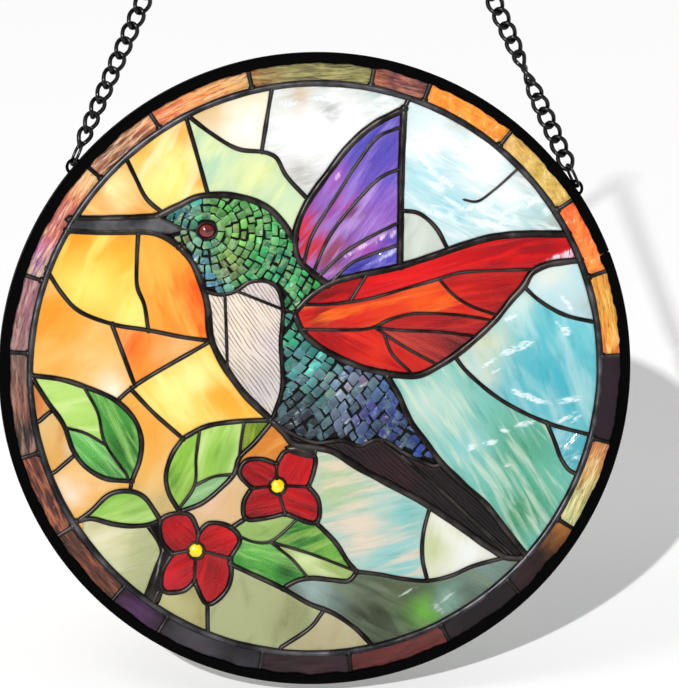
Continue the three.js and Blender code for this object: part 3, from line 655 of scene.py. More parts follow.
@dataclass(frozen=True)
class BarbedGlass:
    """Opalescent glass combed with many fine dark lines, like the barbs of feathers."""

    name: str
    line: str
    angle: float
    spacing: float = 1.05
    see: float = 0.5
    depth: float = 0.75

    def material(self) -> bpy.types.Material:
        """Tint with dark lines: bands at an even spacing, bent by noise and broken along their length.

        Returns:
            The barbed glass's material.
        """
        t = Tree(self.name)
        at = t.place()
        spun = t.turned(at, self.angle, 1000 * 0.05, 1000 / self.spacing)
        bend = t.noise(t.turned(at, self.angle, 38, 70), 1.0, 3)
        across = t.add("ShaderNodeSeparateXYZ", {}, {0: spun}, 2)
        wave = t.add("ShaderNodeMath", {"operation": "SINE"}, {0: (across + bend * 4.4) * (2 * math.pi)})
        broken = t.ramp(t.noise(t.turned(at, self.angle, 140, 900), 1.0, 2), 0.25, 0.6)
        lines = t.ramp(wave, 0.45, 0.95) * broken * self.depth
        tint = t.tint()
        cloud = t.noise(at, 60, 3)
        base = t.mix(t.ramp(cloud, 0.4, 0.8) * 0.3, tint, t.mix(1.0, tint, tint, "MULTIPLY"))
        base = t.mix(lines, base, linear(self.line))
        return t.finish(Base_Color=base, Roughness=0.3, IOR=1.5, Transmission_Weight=self.see,
                        Specular_IOR_Level=0.12, Normal=t.bump(1.0 - lines, 0.00025))


@dataclass(frozen=True)
class Gem:
    """Glossy glass of one colour, clouded inside."""

    name: str
    deep: str
    bright: str
    see: float = 0.3

    def material(self) -> bpy.types.Material:
        """Two tones clouded by noise under a clear glossy skin.

        Returns:
            The gem's material.
        """
        t = Tree(self.name)
        cloud = t.ramp(t.noise(t.place(), 520, 3), 0.3, 0.7)
        base = t.mix(cloud, linear(self.deep), linear(self.bright))
        return t.finish(Base_Color=base, Roughness=cloud * 0.1 + 0.06, Transmission_Weight=self.see,
                        Coat_Weight=0.6, Coat_Roughness=0.03)


@dataclass
class Cartoon:
    """The picture's lines as smooth paths, and the regions of glass that they part."""

    step: float = 0.5
    snap: float = 3.4
    wall: float = 0.48
    paths: dict[str, Array] = field(default_factory=dict)

    def __post_init__(self) -> None:
        """Draws each line through its points and its ends onto the lines that they meet."""
        ring_turn = np.radians(np.arange(0, 360, 0.3))
        ring = RING_RADIUS * np.stack([np.cos(ring_turn), np.sin(ring_turn)], 1)
        raw = {name: smooth_path(points) for group in (OUTLINES, LEAF_LINES, GROUND_LINES, VEINS)
               for name, points in group.items()}
        for name, path in raw.items():
            others = np.concatenate([ring] + [p for n, p in raw.items() if n != name])
            for end in (0, -1):
                gap = np.linalg.norm(others - path[end], axis=1)
                nearest = others[gap.argmin()]
                if 0.15 < gap.min() < self.snap:
                    path = np.concatenate([[nearest], path] if end == 0 else [path, [nearest]])
            self.paths[name] = smooth_path(path[np.r_[0, 1:len(path) - 1:3, len(path) - 1]])

    def grid(self) -> tuple[Array, Array]:
        """Centres of the square cells that cover the picture."""
        axis = (np.arange(int(2 * PANEL_RADIUS / self.step)) + 0.5) * self.step - PANEL_RADIUS
        return np.meshgrid(axis, axis)

    def cell(self, points: Array) -> tuple[Array, Array]:
        """Row and column of the cells that hold the points."""
        index = np.floor((np.asarray(points, float) + PANEL_RADIUS) / self.step).astype(int)
        return index[..., 1], index[..., 0]

    def labels(self, seeds: Sequence[tuple[float, float]]) -> Array:
        """Numbers the cells by the seed whose region they lie in.

        Cells near a line are walls. Each seed's number spreads to free neighbours until nothing
        changes, and then into the walls, so regions meet along the middle of the lines.

        Args:
            seeds: a point in each region.

        Returns:
            The numbers, from 1, with 0 outside the ring.
        """
        x, y = self.grid()
        inside = np.hypot(x, y) < RING_RADIUS + 0.5
        free = inside.copy()
        dense = np.concatenate([smooth_path(p, 0.15) for p in self.paths.values()])
        row, column = self.cell(dense)
        for up in (-1, 0, 1):
            for right in (-1, 0, 1):
                beside = row + up, column + right
                near = np.hypot(x[beside] - dense[:, 0], y[beside] - dense[:, 1]) < self.wall
                free[row[near] + up, column[near] + right] = False
        numbers = np.zeros(x.shape, int)
        row, column = self.cell(seeds)
        numbers[row, column] = np.arange(1, len(seeds) + 1)
        for room in (free, inside):
            growing = True
            while growing:
                before = numbers
                for shift, axis in ((1, 0), (-1, 0), (1, 1), (-1, 1)):
                    numbers = np.where((numbers == 0) & room, np.roll(numbers, shift, axis), numbers)
                growing = bool((numbers != before).any())
        return numbers


@dataclass(frozen=True)
class Bloom:
    """A soft patch of another colour on a glass; a few grey ones beside the ring are painted shade."""

    colour: str
    x: float
    y: float
    radius: float
    strength: float = 1.0


def tinted(x: Array, y: Array, colour: str, blooms: Sequence[Bloom], seed: int) -> Array:
    """Colours at points: a base with blooms laid over it, their edges pulled about by noise.

    A bloom's share is strength * exp(-(distance / radius)^2).

    Args:
        x: first coordinates.
        y: second coordinates.
        colour: base colour.
        blooms: the patches.
        seed: seed of the pull.

    Returns:
        Linear colours.
    """
    wx, wy = x + 2.5 * waves(x, y, seed, 22), y + 2.5 * waves(x, y, seed + 1, 22)
    colours = np.broadcast_to(linear(colour), (len(x), 3)).copy()
    for bloom in blooms:
        share = bloom.strength * np.exp(-((wx - bloom.x) ** 2 + (wy - bloom.y) ** 2) / bloom.radius ** 2)
        colours += (np.array(linear(bloom.colour)) - colours) * np.clip(share, 0, 1)[:, None]
    return colours


@dataclass(frozen=True)
class PaintedGlint:
    """A painted highlight on a glass: its middle, half length, half width and direction in degrees."""

    x: float
    y: float
    length: float
    width: float
    angle: float

    def share(self, x: Array, y: Array) -> Array:
        """A stretched bell: exp(-(u / length)^2 - (v / width)^2), with u along the ripple and v across.

        Args:
            x: places to the right, in millimetres.
            y: places upwards, in millimetres.

        Returns:
            The share of the glint at each place, from 0 to 1.
        """
        turn = math.radians(self.angle)
        u = (x - self.x) * math.cos(turn) + (y - self.y) * math.sin(turn)
        v = (y - self.y) * math.cos(turn) - (x - self.x) * math.sin(turn)
        return np.exp(-(u / self.length) ** 2 - (v / self.width) ** 2)


def painted_glint_share(x: Array, y: Array, painted_glints: Sequence[PaintedGlint]) -> Array:
    """The share of painted highlight at points, summed over the painted glints."""
    return sum((painted_glint.share(x, y) for painted_glint in painted_glints), np.zeros(len(x)))


@dataclass(frozen=True)
class Pane:
    """One piece of glass: a point on it, its colours, its weave and the CAD node that it belongs to."""

    name: str
    seed: tuple[float, float]
    colour: str
    wisp: str
    angle: float
    weave: Weave
    blooms: tuple[Bloom, ...] = ()
    node: str = ""
    # Painted highlights laid into the pane's colour, and the colour they are painted in.
    painted_glints: tuple[PaintedGlint, ...] = ()
    painted_glint: str = "#f2feff"


W, O, S, R, F, C = Weave.WISPY, Weave.OPAL, Weave.STREAKY, Weave.RIPPLED, Weave.FEATHER, Weave.BARBED
B, G = Bloom, PaintedGlint
PANES: tuple[Pane, ...] = (
    Pane("amber_upper_left", (-62, 57), "#eea03c", "#fbdc94", -40, W, (B("#fff0b4", -62, 57, 5.5),)),
    Pane("yellow_upper_left", (-47, 64), "#fbdd78", "#fff6c4", 62, W,
         (B("#fff49c", -47, 63, 10), B("#f3ba55", -56, 70, 7), B("#f3b456", -41, 75, 5),
          B("#f2b04c", -38, 62, 4))),
    Pane("pale_green_crown", (-22, 62), "#c3ddbd", "#eef3b6", 58, W,
         (B("#e6ecae", -20, 62, 9), B("#b2d8c0", -35, 68, 9), B("#d9e8c0", -6, 48, 9))),
    Pane("cream_top", (-27, 80), "#f1e7c8", "#fffdf2", 20, O,
         (B("#fffdf4", -22, 76, 8), B("#e6c48c", -36, 84, 8))),
    Pane("white_top", (4, 77), "#e2e4e0", "#fbfcfb", 14, R,
         (B("#fdfefd", 0, 74, 11), B("#c9c8c2", -4, 61, 6), B("#d8c6ac", -5, 88, 4.5),
          B("#bcc0bd", 5, 82, 4), B("#b0cdc6", 21, 85, 5.5), B("#fdfefd", 12, 76, 6)),
         painted_glints=(G(-9, 84, 3, 1, 5), G(2, 85.5, 4, 0.8, -4), G(19, 82, 3, 0.7, -28),
                 G(9, 83, 2, 0.8, 30))),
    # The grey-olive blooms at (47, 80), (68, 62) and (79, 47), beside the ring, are painted shade.
    Pane("white_upper_right", (55, 60), "#c8e2e4", "#fbfdfd", -26, R,
         (B("#fdfefe", 54, 69, 9), B("#b4dfe6", 32, 60, 7), B("#c2bfae", 47, 80, 5),
          B("#b3b2a4", 68, 62, 5), B("#b6d3d2", 72, 47, 6), B("#9fd6e0", 42, 52, 6),
          B("#b2b4a6", 79, 47, 4), B("#fbfdfd", 60, 54, 5), B("#fbfdfd", 36, 74, 7)),
         painted_glints=(G(40, 60, 5, 0.8, -35), G(38, 49, 6, 0.9, -14), G(50, 51, 6, 0.9, 8),
                 G(62, 50, 5, 0.9, 24), G(69, 53, 3.5, 0.8, 50), G(74, 49.5, 2.2, 1.6, 20),
                 G(56, 60, 5, 0.8, 30), G(34, 66, 5, 0.9, -50), G(58, 45.5, 7, 0.7, 6),
                 G(46, 67, 4, 1, -40))),
    Pane("grey_green_wing", (31, 42), "#ccd4ca", "#e8ece2", 60, O),
    Pane("yellow_left", (-68, 32), "#f9c13c", "#ffe978", 65, W,
         (B("#ffe572", -72, 28, 9), B("#ffec86", -58, 18, 7), B("#f8a832", -60, 44, 8),
          B("#f6a226", -76, 44, 7))),
    Pane("orange_throat", (-46, 26), "#f8a234", "#ffc055", -72, W,
         (B("#f2641a", -38, 24, 7), B("#f06014", -36, 14, 6), B("#fbb548", -52, 36, 8))),
    Pane("amber_left", (-74, 6), "#f0b24c", "#f6d590", 30, O,
         (B("#f4a22c", -84, 20, 12), B("#f2c880", -68, 2, 9), B("#fff0d8", -64, -5, 5))),
    Pane("orange_small", (-53, 5), "#f79a38", "#fbc07c", 70, W,
         (B("#f1701c", -59, 8, 6), B("#f5b774", -44, 7, 6))),
    Pane("yellow_middle", (-38, -5), "#f8c94f", "#fff09a", -58, W,
         (B("#ffea8c", -46, -8, 9), B("#f6ad34", -28, -8, 8), B("#fff0a0", -38, 0, 6))),
    Pane("amber_strip", (-52, -25), "#eab04e", "#f0cc8c", 70, O,
         (B("#efa83c", -52, -16, 8), B("#ccb77c", -50, -42, 8))),
    Pane("amber_chip", (-86.8, -9.5), "#cf7f3c", "#e8a868", 70, O),
    Pane("amber_edge", (-81, -22), "#deaa58", "#e6cc98", 70, O, (B("#dcc4a0", -76, -24, 4),)),
    Pane("cream_under_leaf", (-73, -37), "#e8b25c", "#f2d8a4", 20, O,
         (B("#f0dcc4", -76, -37, 4.5), B("#e8a844", -60, -35, 5))),
    Pane("pale_lower_left", (-61, -57), "#b9bc8c", "#e4e2c8", 12, W,
         (B("#dcd6ac", -68, -52, 7), B("#b4b888", -56, -66, 7))),
    Pane("olive_lower_left", (-41, -74.5), "#a9a468", "#cfcf9e", 60, O, (B("#c6c08a", -46, -74, 6),)),
    Pane("olive_bottom", (-16, -79), "#b4b98a", "#d6dab2", 75, O, (B("#989c6c", -6, -79, 8),)),
    Pane("olive_foot", (3, -84), "#bdb48c", "#d8d4b6", 75, O),
    Pane("peach_flower", (-30, -44), "#e4c08c", "#f2dcb8", 50, O, (B("#eec4a4", -34, -42, 4),)),
    Pane("orange_flower", (-17, -24), "#df8a30", "#f2b35e", 30, W),
    Pane("aqua_lower", (16, -50), "#b4d8d0", "#f0dcc8", 12, S,
         (B("#b9cf9f", 6, -36, 10), B("#8fd0d0", 22, -62, 10), B("#8ccbc8", 30, -46, 8),
          B("#e2d8c4", 14, -52, 7))),
    Pane("cream_lower_right", (42, -57), "#e3e5cb", "#ffffff", 78, O,
         (B("#f4f6f2", 48, -60, 8), B("#cfd9a8", 36, -56, 6))),
    Pane("hill_bottom", (25, -75), "#526049", "#7f8f74", -32, W,
         (B("#33371f", 17, -76, 9), B("#70b43c", 34, -78, 5.5), B("#7f9890", 54, -64, 10),
          B("#a0b8b4", 0, -70, 8), B("#34402c", 18, -86, 6), B("#5e6a4c", 26, -70, 5),
          B("#88ac9c", 42, -74, 5)),
         painted_glints=(G(38.5, -76.5, 2.4, 1.0, -40), G(42, -73, 2.6, 0.6, 35), G(29, -71, 4, 0.4, 28)),
         painted_glint="#c8d6d0"),
    Pane("teal_right", (60, -27), "#7fc9bd", "#d6e8d6", -56, S,
         (B("#c9e4da", 36, -12, 10), B("#52a884", 66, -26, 12), B("#98d4d2", 48, -24, 8),
          B("#5cb79b", 68, -40, 10), B("#4e9c70", 66, -48, 8)),
         painted_glints=(G(66.5, -18, 3.4, 0.9, 12), G(59.8, -20, 1.7, 0.8, -25), G(49.2, -25.3, 1.6, 1.1, 45),
                 G(55, -23.8, 2.4, 1, 15), G(61, -31, 1.5, 0.6, 30))),
    Pane("aqua_right", (70, 2), "#76cad3", "#c2e6e6", -66, W,
         (B("#d9ddc2", 54, 9, 9), B("#dfe4d4", 50, -2, 7), B("#4fbccb", 76, -4, 12),
          B("#63c0cb", 70, 10, 8), B("#e2e6d6", 63, 20, 5)),
         painted_glints=(G(79.5, 11.3, 1.5, 1.5, -45), G(77, 13.5, 1.8, 0.5, -50), G(65, 6.6, 4.2, 1.3, 20),
                 G(60, 4.6, 2, 0.8, 20), G(61.7, 15.8, 2, 1, 25), G(54.4, 1.2, 3, 0.6, 32),
                 G(57, -1, 2.6, 0.5, 32), G(67.5, -9.4, 3.6, 0.9, -24), G(63.5, -8, 2.4, 0.8, -32),
                 G(71, -10.8, 3, 0.7, -12), G(80.5, -10.6, 3.8, 1, 8), G(79.5, -16.4, 3.6, 0.7, 30),
                 G(83, -16.6, 2.2, 0.6, 38))),
    Pane("aqua_chip", (83.5, -26), "#5cb6c4", "#a8dde2", 40, R,
         painted_glints=(G(79.8, -25.6, 2.2, 0.8, -15), G(83, -29, 1.6, 0.6, 20))),
    Pane("pale_aqua_right", (80, 25), "#bfe0e6", "#eef3ee", 60, O,
         (B("#dfe6dc", 74, 30, 6), B("#c0d2d4", 86, 20, 6)),
         painted_glints=(G(79.1, 21.1, 2.4, 0.6, -48), G(80.8, 18.6, 1.2, 0.7, -60))),
    Pane("upper_wing_1", (5, 59), "#6a58bc", "#9a88dc", 54, S,
         (B("#dc2c34", -4, 44, 10), B("#cc2430", -2, 36, 8), B("#b058b8", 5, 59, 5),
          B("#4844b4", 16, 73, 8)), "upper_wing", painted_glints=(G(6.8, 61.4, 1.6, 0.7, 60),),
         painted_glint="#f0c8f0"),
    Pane("upper_wing_2", (16, 61.5), "#7452bc", "#a488dc", 52, S,
         (B("#d03038", 0, 38, 10), B("#b8409c", 8, 53, 5), B("#5c52b8", 22, 69, 8)), "upper_wing"),
    Pane("upper_wing_3", (18, 50), "#8c5cbc", "#c8a4ec", 54, S,
         (B("#6c1c34", 11, 49, 4), B("#9a4864", 4, 37, 7), B("#6458c4", 24, 59, 5),
          B("#9c6cc8", 18, 46, 5)), "upper_wing"),
    Pane("upper_wing_4", (21, 40.5), "#7848b0", "#d8a0e4", 32, R,
         (B("#a848b0", 14, 39, 4), B("#5a4cb8", 25, 43, 4), B("#7c3068", 6, 33, 5)), "upper_wing",
         painted_glints=(G(14.5, 39, 2.6, 0.7, 28), G(20.6, 41.6, 2.4, 0.6, 42), G(24.2, 42.8, 1.6, 0.8, 60),
                 G(10, 36.3, 1.6, 0.5, 30)), painted_glint="#f6dcf8"),
    Pane("upper_wing_5", (22.5, 34.2), "#5a50bc", "#8c84e0", 24, R, (B("#3c34a0", 14, 33, 6),),
         "upper_wing", painted_glints=(G(21.6, 35.8, 3, 0.6, 36), G(24.4, 37.6, 1.8, 0.7, 60)),
         painted_glint="#d8d4fc"),
    Pane("red_wing_1", (5, 24.5), "#a00a10", "#d80c12", 20, S, (B("#7c0810", 4, 24, 5),), "red_wing"),
    Pane("red_wing_2", (35, 31), "#cc0a12", "#ec1414", 12, S,
         (B("#e01818", 30, 31, 10), B("#a80c16", 60, 36, 10), B("#9c0a14", 72, 39, 7)), "red_wing",
         painted_glints=(G(77.4, 34.9, 4.4, 0.9, 13), G(80.4, 35.9, 2, 1.4, 20)), painted_glint="#f4e2f2"),
    Pane("red_wing_3", (20, 18.5), "#d41c14", "#fb7420", 14, S,
         (B("#f0581a", 34, 23, 8), B("#8c0c10", 2, 17, 5), B("#e43c18", 22, 17, 6)), "red_wing"),
    Pane("red_wing_4", (58, 24), "#b81414", "#e42a1c", 8, S, (B("#96141a", 60, 18, 6),), "red_wing"),
    Pane("red_wing_5", (35, 14.4), "#ac1618", "#cc2a22", 4, S, (B("#8e161c", 46, 13, 6),), "red_wing"),
    Pane("red_wing_6", (38, 6.5), "#9c1e20", "#c03a30", -26, F,
         (B("#561418", 46, 7, 6), B("#cc3c30", 28, 9, 5)), "red_wing"),
    Pane("red_wing_7", (28.3, 4.6), "#cc1c16", "#ea3a22", -35, S, (), "red_wing"),
    Pane("red_wing_8", (10, 7), "#c00c10", "#ec3018", -28, S,
         (B("#e02c18", 18, 5, 6), B("#a40c12", 2, 9, 6)), "red_wing"),
    Pane("left_leaf_1", (-77, -9), "#b8dc74", "#e6f4b0", 8, W, (B("#a5d060", -72, -20, 6),),
         "leaf_left"),
    Pane("left_leaf_2", (-63, -16), "#3f9238", "#9cd070", -62, S, (B("#2c6c26", -60, -24, 7),),
         "leaf_left"),
    Pane("left_leaf_3", (-71, -27), "#5cae50", "#a8dc90", -48, S, (B("#357f30", -64, -30, 5),),
         "leaf_left"),
    Pane("mid_leaf_1", (-42, -30), "#8cc043", "#bfe070", 60, W, (B("#5e9828", -44, -36, 5),),
         "leaf_middle"),
    Pane("mid_leaf_2", (-31, -25), "#a4d05a", "#d8eea0", 66, W, (B("#86bc40", -28, -28, 6),),
         "leaf_middle"),
    Pane("mid_leaf_3", (-34, -38), "#8cc07c", "#c6e6b4", 30, W, (), "leaf_middle"),
    Pane("mid_leaf_4", (-20, -19), "#6c8a22", "#a8ba44", 80, S, (), "leaf_middle"),
    Pane("small_leaf", (-62, -43.5), "#86bc46", "#cbe68e", 20, W, (B("#66a034", -58, -46, 5),),
         "leaf_small"),
    Pane("right_leaf_1", (-15, -50.5), "#9cbc68", "#cfe29e", 14, W, (), "leaf_right"),
    Pane("right_leaf_2", (0, -54), "#5a9c3e", "#a8d068", 22, S,
         (B("#2c7a30", -5, -53, 5), B("#7ab84a", 5, -59, 5)), "leaf_right"),
    Pane("right_leaf_3", (3, -63), "#a8c070", "#e4f0bc", -24, W, (B("#d8e8a4", -3, -61, 4),),
         "leaf_right"),
    Pane("right_leaf_4", (-15, -62), "#3f9438", "#a6dc7c", -20, S,
         (B("#1d5c20", -8, -63, 4), B("#66b850", -18, -60, 5)), "leaf_right"),
    Pane("low_petal_1", (-43.5, -50.5), "#8c0610", "#c00c16", -45, S, (B("#c4121e", -43, -50, 4),),
         "flower_low"),
    Pane("low_petal_2", (-30, -53), "#9c0812", "#d01018", 20, S, (B("#d81620", -28, -53, 4),),
         "flower_low"),
    Pane("low_petal_3", (-32, -66), "#b20c18", "#dc121c", 70, S, (B("#8a0812", -36, -62, 4),),
         "flower_low"),
    Pane("low_petal_4", (-45, -64), "#aa0a18", "#da121c", 30, S, (B("#d0182a", -46, -66, 4),),
         "flower_low"),
    Pane("high_petal_1", (-6, -31), "#c00e18", "#e6161e", 60, S, (), "flower_high"),
    Pane("high_petal_2", (-4, -43), "#b40c16", "#da121a", -20, S, (B("#8c0812", -3, -46, 4),),
         "flower_high"),
    Pane("high_petal_3", (-17.5, -42.5), "#a60a14", "#ce1018", 14, S, (B("#7a0610", -20, -45, 4),),
         "flower_high"),
    Pane("high_petal_4", (-19.5, -32), "#920810", "#c20c14", -30, S, (), "flower_high"),
    Pane("breast_1", (-31, 12), "#efe0cf", "#6b5a4e", -62, C, (), "breast"),
    Pane("breast_2", (-20, 10), "#ebddcf", "#6a5b52", -54, C,
         (B("#f4e4d2", -26, 16, 9), B("#cfc8c8", -16, -6, 9), B("#dcd0d0", -14, 8, 6)), "breast"),
    Pane("breast_3", (-15.5, 25), "#dccfca", "#6d5f58", -58, C, (), "breast"),
    Pane("tail", (16, -28), "#1a0a0f", "#060304", -43, C,
         (B("#2e101a", 24, -33, 8), B("#0b0506", 54, -52, 12))),
    Pane("beak", (-60, 46.6), "#4b4f50", "#7a7e7e", 0, O),
    Pane("head_mosaic", (-22, 42), "#120f0e", "#120f0e", 0, O),
    Pane("body_mosaic", (8, -12), "#120f0e", "#120f0e", 0, O),
)
GLASS_SLOTS = {
    "amber": "amber_upper_left amber_left amber_strip amber_chip amber_edge",
    "yellow": "yellow_upper_left yellow_left yellow_middle",
    "orange": "orange_throat orange_small orange_flower",
    "cream": "cream_top pale_lower_left cream_lower_right",
    "peach": "cream_under_leaf peach_flower",
    "white": "white_top white_upper_right",
    "pale_green": "pale_green_crown", "grey_green": "grey_green_wing",
    "olive": "olive_lower_left olive_bottom olive_foot",
    "aqua": "aqua_lower aqua_right aqua_chip", "pale_aqua": "pale_aqua_right",
    "teal": "teal_right", "hill": "hill_bottom", "violet": "upper_wing", "red": "red_wing",
    "leaf": "leaf_left leaf_middle leaf_small leaf_right", "dark_red": "flower_low flower_high",
    "breast": "breast", "tail": "tail", "crown": "head_mosaic", "body": "body_mosaic",
}
SLOTS = {node: f"{colour}_glass" for colour, nodes in GLASS_SLOTS.items() for node in nodes.split()}
SLOTS["beak"] = "beak_metal"


@dataclass
class Picture:
    """The glass inside the ring: panes, the beak and the beds of the mosaic."""

    cartoon: Cartoon
    labels: Array = field(init=False)

    def __post_init__(self) -> None:
        """Finds each pane's cells."""
        self.labels = self.cartoon.labels([pane.seed for pane in PANES])

    def number(self, name: str) -> int:
        """The label of a pane."""
        return 1 + [pane.name for pane in PANES].index(name)

    def slab(self, mask: Array, front: float, relief: float, seed: int) -> Shape:
        """A sheet over the masked cells, its edge smoothed and its face rippled.

        The face is front + relief * noise(x, y) and the back is flat. Points on the edge move to the
        middle of their neighbours a few times, which rounds off the cells' steps.

        Args:
            mask: the cells.
            front: depth of the face.
            relief: height of the ripples.
            seed: seed of the ripples.

        Returns:
            The closed sheet.
        """
        row, column = np.nonzero(mask)
        size = mask.shape[0] + 1
        corners = np.stack([row * size + column, row * size + column + 1, (row + 1) * size + column + 1,
                            (row + 1) * size + column], 1)
        used, quads = np.unique(corners, return_inverse=True)
        quads = quads.reshape(-1, 4)
        flat = np.stack([used % size, used // size], 1) * self.cartoon.step - PANEL_RADIUS
        sides = np.concatenate([quads[:, [i, (i + 1) % 4]] for i in range(4)])
        keys = {tuple(s) for s in sides.tolist()}
        rim = np.array([s for s in keys if (s[1], s[0]) not in keys])
        for _ in range(8):
            total, count = np.zeros_like(flat), np.zeros(len(flat))
            for a, b in ((0, 1), (1, 0)):
                np.add.at(total, rim[:, a], flat[rim[:, b]])
                np.add.at(count, rim[:, a], 1)
            edge = count > 0
            flat[edge] = 0.5 * flat[edge] + 0.5 * total[edge] / count[edge][:, None]
        x, y = flat.T
        n = len(flat)
        face = front + relief * waves(x, y, seed, 16, 2)
        points = np.concatenate([deep(flat, face), deep(flat, -GLASS_FACE)])
        walls = np.stack([rim[:, 1], rim[:, 0], rim[:, 0] + n, rim[:, 1] + n], 1)
        return Shape(points, quads.tolist() + (quads[:, ::-1] + n).tolist() + walls.tolist())

    def painted_edge_highlight(self, shape: Shape, mask: Array, tint: Array) -> Array:
        """Paints a highlight: lightens a thin line beside the leading, where the ground edge of the glass
        would catch the light.

        The share is 0.3 * exp(-((distance from the pane's edge - 1.35) / 0.5)^2) in millimetres, with the
        distance counted in rings of cells that are peeled off the mask one by one.

        Args:
            shape: the pane, whose flat points are looked up.
            mask: the pane's cells.
            tint: the pane's colours.

        Returns:
            The colours with the painted highlight line.
        """
        rings, left = np.zeros(mask.shape), mask.copy()
        for _ in range(6):
            rings += left
            next_left = left.copy()
            for shift, axis in ((1, 0), (-1, 0), (1, 1), (-1, 1)):
                next_left &= np.roll(left, shift, axis)
            left = next_left
        row, column = self.cartoon.cell(shape.points[:, :2] - self.cartoon.step / 2)
        size = mask.shape[0] - 2
        row, column = np.clip(row, 0, size), np.clip(column, 0, size)
        distance = sum(rings[row + i, column + j] for i in (0, 1) for j in (0, 1)) / 4 * self.cartoon.step
        share = 0.3 * np.exp(-((distance - 1.35) / 0.5) ** 2)
        # Painted highlight colour: the tint paled towards its square root.
        pale = np.sqrt(tint) * 0.5 + tint * 0.5
        return tint + (pale - tint) * share[:, None]

    def build(self) -> None:
        """Makes every pane."""
        for number, pane in enumerate(PANES, 1):
            mask = self.labels == number
            node = pane.node or pane.name
            shape = self.slab(mask, GLASS_FACE, pane.weave.value[3] * 0.5, number)
            x, y = shape.points[:, 0], shape.points[:, 1]
            # The tint carries a painted highlight beside the leading; its alpha carries the painted glints.
            tint = self.painted_edge_highlight(shape, mask, tinted(x, y, pane.colour, pane.blooms, 3 * number))
            shape.tint = np.column_stack([tint, painted_glint_share(x, y, pane.painted_glints)])
            if pane.name == "beak":
                material = Patina("gunmetal", "#2a2a2c", "#4c4b4e", 0.34, 0.5).material()
                shape.points[:len(x) // 2, 2] += 0.9
            elif pane.name.endswith("mosaic"):
                material = Patina("grout", "#050404", "#0e0c0b", 0.6, 0.0, specular=0.1).material()
                shape.points[:len(x) // 2, 2] -= 0.3
            elif pane.weave is Weave.BARBED:
                material = BarbedGlass(pane.name, pane.wisp, pane.angle).material()
            else:
                material = ArtGlass(pane.name, pane.weave, pane.wisp, pane.angle,
                                    painted_glint=pane.painted_glint if pane.painted_glints else "").material()
            shape.placed(pane.name, material, [node], SLOTS[node])


